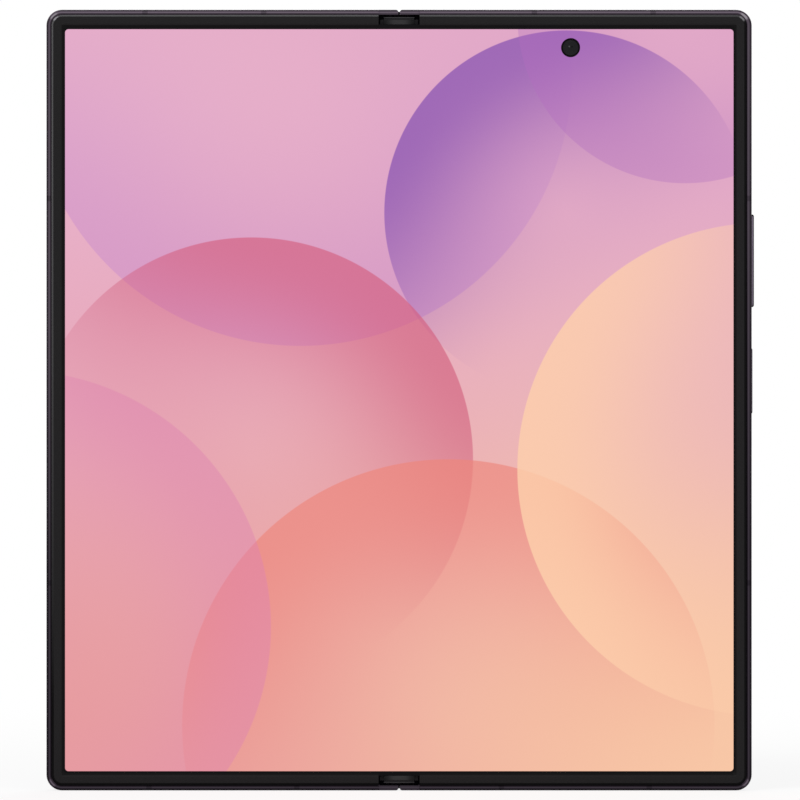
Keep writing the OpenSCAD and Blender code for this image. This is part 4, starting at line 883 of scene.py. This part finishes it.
def edge_place(x, height):
    """Distance in from the body's outline, which has round corners, and how near a point is to the
    part of a corner that catches the light and gets a painted highlight: a little above the
    corner's middle. That comes once for all the corners and once for the upper ones alone."""
    past_x, past_z = past_sides(x, height - mid_z, half_w - corner_r, mid_z - corner_r)
    upper = height.smooth(mid_z - 1, mid_z + 1)
    leant = past_z * (1.28 - 0.44 * upper)
    turn = past_x * leant / (past_x * past_x + leant * leant).at_least(0.01)
    glint = turn.smooth(0.34, 0.47)
    return corner_r - span(past_x, past_z), glint, glint * upper


def lit_sides(x, height):
    """How far a point lies on the top edge, on the left one and on the right one, by which the
    painted highlights and shade are weighed.
    """
    inner, outer = edge_w
    top = height.smooth(body_h - inner, body_h - outer)
    left = x.smooth(inner - half_w, outer - half_w)
    right = x.smooth(half_w - inner, half_w - outer)
    return top, left, right


def blasted(finish, deep, light):
    """The grain of the blasting and the dye's colour, which is a little cloudy."""
    grain = finish.noise(9.0)
    return grain, finish.mix(finish.noise(0.12) * 0.5 + grain * 0.3, deep, light)


def metal_surface(finish, grain, colour, strength, more=None):
    """Ends a finish of blasted metal, whose grain shows in roughness and bump."""
    relief = (grain, 0.01, strength)
    return finish.surface(colour, grain * 0.12 + 0.3, 1.0, relief=relief, more=more)


def band_finish(name, share=1.0):
    """Dyed aluminium whose front carries a painted highlight along its crown and painted shade
    beside it, stronger or weaker by side, with painted black shade further in. share is how much of
    the dye's colour is left, for the darker plastic of the antenna breaks."""
    finish, x, depth, height = begin(name)
    inset, glint, upper_glint = edge_place(x, height)
    top, left, right = lit_sides(x, height)
    side = top.at_least(left * 0.55 * height.ramp(45, 95))
    side = side.at_least(right * 0.4 * height.ramp(50, 150)).at_least(glint * 0.8)
    shifted = inset - 0.08 * (1.0 - side)
    line_in = crown_in + 0.14 * right * height.ramp(50, 115)
    grain, plain = blasted(finish, *dye)
    # Lit and shaded copies of the dye: the crown's painted highlight, its darker flanks as painted
    # shade, and a painted glint at the upper corners.
    deep = finish.mix(side, (30, 25, 31), (56, 48, 57))
    crown = finish.mix(side, (61, 54, 63), (108, 97, 109))
    crown = finish.mix(upper_glint, crown, (146, 140, 147))
    face = finish.mix(shifted.between(crown_out, line_in, 0.1), deep, crown)
    colour = finish.mix(depth.smooth(-2.4, -2.8), plain, face)
    colour = finish.mix(share, dye_and_shade_black, colour)
    # Painted shade: black in the groove and the pockets inside the band, at its front.
    hollow_shade = shifted.smooth(0.97, 1.03) * depth.smooth(0.3, 0.1)
    return metal_surface(finish, grain, finish.mix(hollow_shade, colour, dye_and_shade_black), 0.12)


def anodised(name, shade_by_caps=False):
    """Blasted, dyed aluminium. shade_by_caps paints shade where the housing shows beside the fold's
    caps: near black towards the phone's ends, dark grey further in.
    """
    finish = Finish(name)
    grain, colour = blasted(finish, *dye)
    if shade_by_caps:
        _, depth, height = finish.axes()
        distance = abs(height - mid_z)
        # Painted shade in the slots beside the caps.
        black = finish.mix(distance.smooth(77.15, 77.25), (26, 25, 27), dye_and_shade_black)
        ends = distance.smooth(75.8, 75.9) * depth.smooth(0.2, 0.0)
        colour = finish.mix(ends, colour, black)
    return metal_surface(finish, grain, colour, 0.25)


def key_metal(word, deep, light, rounding=1.0):
    """A key's metal, with painted shade where it leaves its slot, round its ends and on the outer
    part of its front rounding. rounding is how much of the colour is left on that outer part."""
    middle, half_length, _, _ = keys[word]
    finish, x, depth, height = begin(word + "_metal")
    grain, colour = blasted(finish, deep, light)
    outer = x.smooth(half_w + 0.28, half_w + 0.36) * depth.smooth(-1.38, -1.46)
    end = abs(height - middle).smooth(half_length - 0.35, half_length - 0.25)
    # Painted shade at the slot, on the outer rounding and round the ends.
    colour = finish.layers(
        colour,
        (x.smooth(half_w + 0.25, half_w + 0.05), (58, 48, 61)),
        (outer * (1.0 - rounding), slot_shade),
        (end, slot_shade),
    )
    return metal_surface(finish, grain, colour, 0.12, {"Specular Tint": linear((120, 108, 124))})


def from_rear_camera(x, height):
    """Across and up from the axis of the nearest rear camera. The three axes are evenly
    spaced, so the height is wrapped round one spacing."""
    half_pitch = camera_pitch / 2
    up = height - island_z
    return x - island_x, up.math("WRAP", half_pitch, -half_pitch)


def turned_metal():
    """Metal turned on a lathe: fine rings round each camera's axis, under the dye."""
    finish, x, _, height = begin("turned_ring_metal")
    rings = span(*from_rear_camera(x, height)).wave(0.14)
    colour = finish.mix(finish.noise(6.0) * 0.5 + rings * 0.3, (92, 84, 95), (140, 131, 143))
    return finish.surface(colour, rings * 0.1 + 0.2, 1.0, relief=(rings, 0.006, 0.4))


looks["main_frame"] = looks["cover_frame"] = band_finish("plum_metal_band")
looks["antenna_plastic"] = band_finish("antenna_plastic", 0.64)
looks["frame_metal"] = anodised("plum_metal")
looks["hinge_housing"] = anodised("plum_metal_housing", shade_by_caps=True)
looks["ring_metal"] = turned_metal()
# Both keys are the band's aluminium. The volume key's colours are painted lighter than the dye, as
# light falls on it.
looks["volume_key"] = key_metal("volume_key", (92, 82, 97), (118, 107, 123), rounding=0.1)
looks["side_key"] = key_metal("side_key", (64, 55, 67), (86, 77, 89))
print("looks:", list(looks))

# %% [markdown]
# ## Blacks of the front
# The rim is matt black plastic. Its sloping lip is painted darker than its flat top, as shade. Its
# rounded shoulder gets a painted highlight like the band's crown does: along the top, down the left
# and at the two upper corners, with painted shade down the other sides. The soft caps at the fold
# are rubber with a velvet grain; painted light and shade make them lightest on the crown and darker
# down the sides and in the groove, with a painted highlight along the bead and painted shade at
# their outer ends.

# %% Plastics and rubber
rim_lip = (3.05, 3.17)
cap_rim = (77.69, 77.76)


def rim_finish():
    finish, x, _, height = begin("rim_plastic")
    inset, _, upper_glint = edge_place(x, height)
    top, left, _ = lit_sides(x, height)
    # Painted highlight on the shoulder along the top, the left and the two upper corners; painted
    # shade on the shoulder elsewhere and on the lip.
    side = (top * (1.0 - 0.4 * x.smooth(-20, 75))).at_least(left * 0.9 * height.ramp(18, 128))
    shoulder = finish.mix(side, (4, 3, 4), (86, 86, 87))
    shoulder = finish.mix(upper_glint * (0.5 + 0.4 * left), shoulder, (150, 149, 153))
    grain = finish.noise(7.0, 3.0)
    colour = finish.layers(
        finish.mix(grain, (28, 27, 28), (34, 33, 34)),
        ((inset - 0.16 * (1.0 - side)).smooth(groove_in + 0.40, groove_in + 0.26), shoulder),
        ((inset + side * 0.2).smooth(*rim_lip), (16, 15, 16)),
    )
    relief = (grain, 0.012, 0.3)
    return finish.surface(colour, grain * 0.08 + 0.5, gloss=glass_sheen, relief=relief)


def cap_finish():
    finish, x, _, height = begin("cap_rubber")
    distance = abs(height - mid_z)
    grain = finish.noise(8.0, 3.0)
    # Painted light and shade: lighter on the crown, darker down the sides and in the groove, a
    # painted highlight along the bead and painted black shade at the outer end.
    colour = finish.layers(
        finish.mix(grain, (47, 47, 48), (53, 53, 54)),
        (abs(x).smooth(0.8, 2.9), (23, 23, 24)),
        (abs(x).smooth(3.0, 3.15), (26, 25, 27)),
        (distance.between(*cap_groove, 0.04), (34, 33, 35)),
        (distance.between(*cap_bead, 0.05), (60, 59, 61)),
        (distance.smooth(*cap_rim), (5, 4, 6)),
    )
    relief = (grain, 0.015, 0.4)
    return finish.surface(colour, grain * 0.12 + 0.5, gloss=glass_sheen, relief=relief)


def moulded():
    """Moulded plastic: a fine erosion grain with slow cloudy variation."""
    finish = Finish("inner_black")
    grain = finish.noise(3.0, 3.0)
    colour = finish.mix(grain * 0.6 + finish.noise(0.2) * 0.4, (24, 24, 27), (40, 40, 44))
    return finish.surface(colour, grain * 0.12 + 0.5, gloss=0.3, relief=(grain, 0.02, 0.4))


looks["rim_black"] = rim_finish()
looks["cap_rubber"] = cap_finish()
looks["inner_black"] = looks["cover_camera"] = moulded()
print("looks with plastics:", len(looks))

# %% [markdown]
# ## Glass
# The back glass is etched: a frosted surface over a dark plum film, with a faint cloudy sparkle.
# The cover screen's glass is polished black, with the switched-off display a shade lighter than its
# border, and a small camera painted on it as rings round a blue lens. The lens glasses have a
# coating that swallows most reflections. Seeing a dark funnel through clear glass takes many
# samples before the grain goes, so what shows through is painted on them instead: rings and a
# violet pool on the rear ones, and spots on the one over the inner camera. The rear ones and the
# inner one each carry a small pale dot as a painted highlight.

# %% Glass finishes
display_x = 38.1
display_half_w = 32.0
display_half_h = (76.9, 76.6)
cover_eye = (36.0, body_h - 7.0)
flash = (43.7, 141.2)
small_pool_r = 1.4
wide_pool_extra = 0.9
window_spots_and_highlight = (
    # across, up, radius, softness, colour
    (0.1, -0.1, 0.62, 0.2, (27, 27, 29)),
    (0.3, 0.19, 0.16, 0.1, (8, 8, 9)),
    # the pale spot below is a painted highlight on the lens
    (-0.26, 0.26, 0.13, 0.08, (84, 84, 86)),
)


def frosted_back():
    finish, _, _, height = begin("frosted_glass")
    sparkle = finish.noise(14.0, 1.0)
    lift = height.smooth(0, body_h) * 0.35 + finish.noise(0.03) * 0.3 + sparkle * 0.2
    colour = finish.mix(lift, (42, 38, 48), (70, 63, 76))
    return finish.surface(colour, sparkle * 0.1 + 0.36, relief=(sparkle, 0.004, 0.3))


def cover_black():
    finish, x, _, height = begin("cover_black_glass")
    display = (abs(x) - display_x).between(-display_half_w, display_half_w, 0.1)
    display = display * abs(height - mid_z).smooth(*display_half_h)
    away = span(abs(x) - cover_eye[0], height - cover_eye[1])
    smear = finish.noise(0.05, 3.0, drawn=(1.0, 1.0, 0.4))
    colour = finish.layers(
        (8, 8, 9),
        (display, (15, 15, 18)),
        (away.smooth(2.4, 2.3), (4, 4, 5)),
        (away.between(1.15, 1.5, 0.05), (34, 35, 42)),
        (away.smooth(0.75, 0.55), (26, 30, 58)),
    )
    return finish.surface(colour, smear * 0.08 + 0.03, gloss=0.2)


def lens_window():
    """The rear lens glasses: rings of the funnel, the lens as a violet pool, and a pale dot that is
    a painted highlight. The wide camera in the middle has the larger pool."""
    finish, x, _, height = begin("lens_window")
    dx, dz = from_rear_camera(x, height)
    away = span(dx, dz)
    pool_r = small_pool_r + wide_pool_extra * abs(height - island_z).smooth(9.3, 9.1)
    share = away / pool_r
    steps = away.wave(0.8).smooth(0.7, 0.95) * away.between(0.5, 4.2, 0.1)
    pool = finish.mix(share.smooth(0.1, 1.0), (66, 44, 112), (18, 50, 66))
    grain = finish.noise(1.5)
    colour = finish.layers(
        finish.mix(grain, (9, 9, 11), (15, 15, 18)),
        (steps, (31, 31, 36)),
        (share.smooth(1.03, 0.97), pool),
        (share.between(0.98, 1.12, 0.03), (44, 45, 54)),
        # A painted highlight: the pale dot on each lens.
        (span(dx / pool_r - 0.3, dz / pool_r - 0.35).smooth(0.2, 0.1), (146, 152, 184)),
    )
    return finish.surface(colour, grain * 0.04 + 0.04, gloss=0.15)


def flash_glass():
    """A moulded Fresnel lens: concentric ridges over a yellow phosphor square."""
    finish, x, _, height = begin("flash_window")
    dx = x - flash[0]
    dz = height - flash[1]
    ridges = span(dx, dz).wave(0.3)
    chip = abs(dx).smooth(0.75, 0.6) * abs(dz).smooth(0.75, 0.6)
    colour = finish.mix(ridges * 0.4, (235, 230, 214), (206, 200, 184))
    colour = finish.mix(chip, colour, (236, 205, 96))
    relief = (ridges, 0.05, 0.8)
    return finish.surface(colour, ridges * 0.1 + 0.12, relief=relief, more={"Coat Weight": 0.6})


def smoked_window():
    """Smoked glass over the inner camera, with the spots that show through it; the pale one is a
    painted highlight.
    """
    finish, x, _, height = begin("smoked_window")
    dx = x - printed_ring[0]
    dz = height - printed_ring[1]
    smoke = finish.noise(0.8)
    colour = finish.mix(smoke, (20, 20, 22), (36, 36, 39))
    for across, up, radius, soft, tint in window_spots_and_highlight:
        spot = span(dx - across, dz - up).smooth(radius + soft, radius - soft)
        colour = finish.mix(spot, colour, tint)
    colour = finish.mix(span(dx, dz).smooth(1.48, 1.6), colour, (4, 1, 4))
    return finish.surface(colour, smoke * 0.05 + 0.08, gloss=glass_sheen)


looks["rear_glass"] = frosted_back()
looks["cover_glass"] = looks["cover_screen"] = cover_black()
looks["inner_camera_window"] = smoked_window()
looks["lens_glass"] = lens_window()
looks["flash_lens"] = flash_glass()
print("looks with glass:", len(looks))

# %% [markdown]
# ## Camera finish
# The funnel round each lens is matt black. The domed element shows the colours of its
# coating: violet in the middle, going over into green-blue at the edge, which is what a
# real coating reflects. The stored radius, as a share of the barrel, tells them apart.

# %% Cameras
def camera_finish(word, dome_r, barrel_r, ring_colour=(20, 20, 23)):
    finish = Finish(word + "_camera_black")
    radius = finish.attribute("radius", "Fac")
    grain = finish.noise(5.0)
    glass = radius.smooth(dome_r + 0.02, dome_r - 0.02)
    coat = finish.mix(radius.smooth(0.1 * dome_r, 0.9 * dome_r), (58, 34, 92), (18, 44, 58))
    colour = finish.layers(
        finish.mix(grain, (14, 14, 16), (24, 24, 27)),
        (radius.between(0.5 * barrel_r, 0.82 * barrel_r, 0.04), ring_colour),
        (glass, coat),
    )
    roughness = 0.45 - 0.38 * glass + grain * 0.05
    return finish.surface(colour, roughness, gloss=0.1, more={"Coat Weight": glass * 0.4})


camera_looks = {}
for word, _, barrel_r, dome_r in rear_cameras:
    camera_looks[word] = camera_finish(word, dome_r, barrel_r)
camera_looks["inner"] = camera_finish("inner", inner_dome_r, inner_r, ring_colour=(33, 34, 41))
looks["camera_black"] = camera_looks["inner"]
print("camera finishes:", list(camera_looks))

# %% [markdown]
# ## Inside
# The pieces behind the screen show when the phone is taken apart or seen at its edges.
# Rolled steel sheets have fine lines along their length; machined steel and brass have a
# tighter grain; the batteries are wrapped in dark foil; the boards carry green lacquer over
# thin copper lines; and the flat cables are amber film with copper showing through.

# %% Inner finishes
def rolled(name, deep, light, per_mm, roughness, drawn=(1.0, 1.0, 0.05)):
    """Rolled or machined metal: noise drawn out along one axis into fine lines."""
    finish = Finish(name)
    lines = finish.noise(per_mm, 3.0, drawn)
    colour = finish.mix(lines * 0.7 + finish.noise(0.15) * 0.3, deep, light)
    return finish.surface(colour, lines * 0.15 + roughness, 1.0, relief=(lines, 0.008, 0.4))


def lacquered_board():
    """Green lacquer over copper lines, which run in steps: a Brick pattern drawn long."""
    finish, x, _, height = begin("board_lacquer")
    flat = finish.node("CombineXYZ", sockets={0: x, 1: height})
    bricks = {"Scale": 1.0, "Mortar Size": 0.08, "Brick Width": 2.4, "Row Height": 0.7}
    lines = finish.node("TexBrick", sockets={"Vector": flat, **bricks}, output="Fac")
    grain = finish.noise(2.0, 3.0)
    board = finish.mix(grain, (22, 66, 44), (32, 84, 56))
    colour = finish.mix(lines * 0.6, board, (96, 122, 62))
    return finish.surface(colour, grain * 0.15 + 0.3, relief=(lines, 0.02, 0.5))


def wrapped_foil():
    """Battery foil: dark, slightly crinkled, with a soft sheen."""
    finish = Finish("battery_foil")
    crinkle = finish.noise(0.6, 5.0)
    colour = finish.mix(crinkle, (38, 40, 48), (58, 61, 71))
    return finish.surface(colour, crinkle * 0.2 + 0.3, 0.6, relief=(crinkle, 0.08, 0.4))


def striped(name, base, line, axis, metallic):
    """A film with printed lines, half a millimetre apart along an axis."""
    finish = Finish(name)
    stripe = finish.axes()[axis].wave(0.5).smooth(0.45, 0.62)
    grain = finish.noise(3.0)
    colour = finish.mix(stripe * 0.8 + grain * 0.2, base, line)
    return finish.surface(colour, grain * 0.15 + 0.35, metallic, relief=(stripe, 0.015, 0.4))


def copper_winding():
    """The charging coil's turns: rings round the coil's own middle."""
    finish, x, _, height = begin("copper_winding")
    low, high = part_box("charging_coil")
    middle_x = (low.x + high.x) / 2 / MM
    middle_z = (low.z + high.z) / 2 / MM
    turns = span(x - middle_x, height - middle_z).wave(0.7)
    grain = finish.noise(3.0)
    colour = finish.mix(turns * 0.7 + grain * 0.3, (96, 56, 34), (196, 124, 82))
    return finish.surface(colour, grain * 0.1 + 0.28, 1.0, relief=(turns, 0.06, 0.7))


metals = {
    # material, colours, lines to the millimetre, roughness, how they are drawn out
    "steel_sheet": ("rolled_steel_sheet", (122, 124, 128), (160, 162, 166), 4.0, 0.3),
    "hinge_steel": ("machined_steel", (108, 110, 116), (152, 154, 160), 6.0, 0.28, (0.2, 1, 1)),
    "gear_brass": ("gear_brass", (150, 118, 62), (206, 172, 104), 6.0, 0.25, (1, 1, 0.1)),
    "screw_steel": ("screw_steel", (44, 44, 48), (78, 78, 84), 8.0, 0.3, (1, 1, 1)),
    "copper": ("copper_sheet", (150, 88, 58), (200, 130, 92), 3.0, 0.3),
    "usb_shell": ("blackened_steel", (10, 9, 11), (22, 21, 24), 6.0, 0.4),
}
looks.update({word: rolled(*metal) for word, metal in metals.items()})
looks["board_green"] = lacquered_board()
looks["battery_wrap"] = wrapped_foil()
looks["flex_amber"] = striped("flex_amber", (150, 92, 32), (196, 128, 52), 2, 0.0)
looks["usb_tongue"] = striped("usb_contacts", (22, 22, 24), (196, 158, 84), 0, 0.3)
looks["charging_coil"] = copper_winding()
print("looks in all:", len(looks))

# %% [markdown]
# ## Giving every piece its finish
# Each CAD node belongs to a material slot of the record. A node takes the look that is
# filed under its own name, or else its slot's. The new pieces come in groups of one look.

# %% Paint the nodes and the new pieces
slot_of = {part["node"]: part["material_slot"] for part in frame["record"]["subparts"]}
painted = [
    (rims.values(), looks["rim_black"]),
    (caps, looks["cap_rubber"]),
    (strips, bent_screen),
    (sheets, looks["steel_sheet"]),
    (cables, looks["flex_amber"]),
    (blocks, looks["inner_black"]),
]
for name, piece in frame["nodes"].items():
    painted.append(([piece], looks.get(name) or looks[slot_of[name]]))
for word, piece in key_pieces.items():
    painted.append(([piece], looks[word]))
for word, piece in barrels.items():
    painted.append(([piece], camera_looks[word]))
for pieces, material in painted:
    for piece in pieces:
        piece.data.materials.clear()
        piece.data.materials.append(material)
print("painted nodes:", len(frame["nodes"]))

# %% [markdown]
# ## Bring the scene up to date
# Last, the view layer is updated once more. The dressed phone may not be bigger than
# the CAD model.

# %% Update the view layer
bpy.context.view_layer.update()
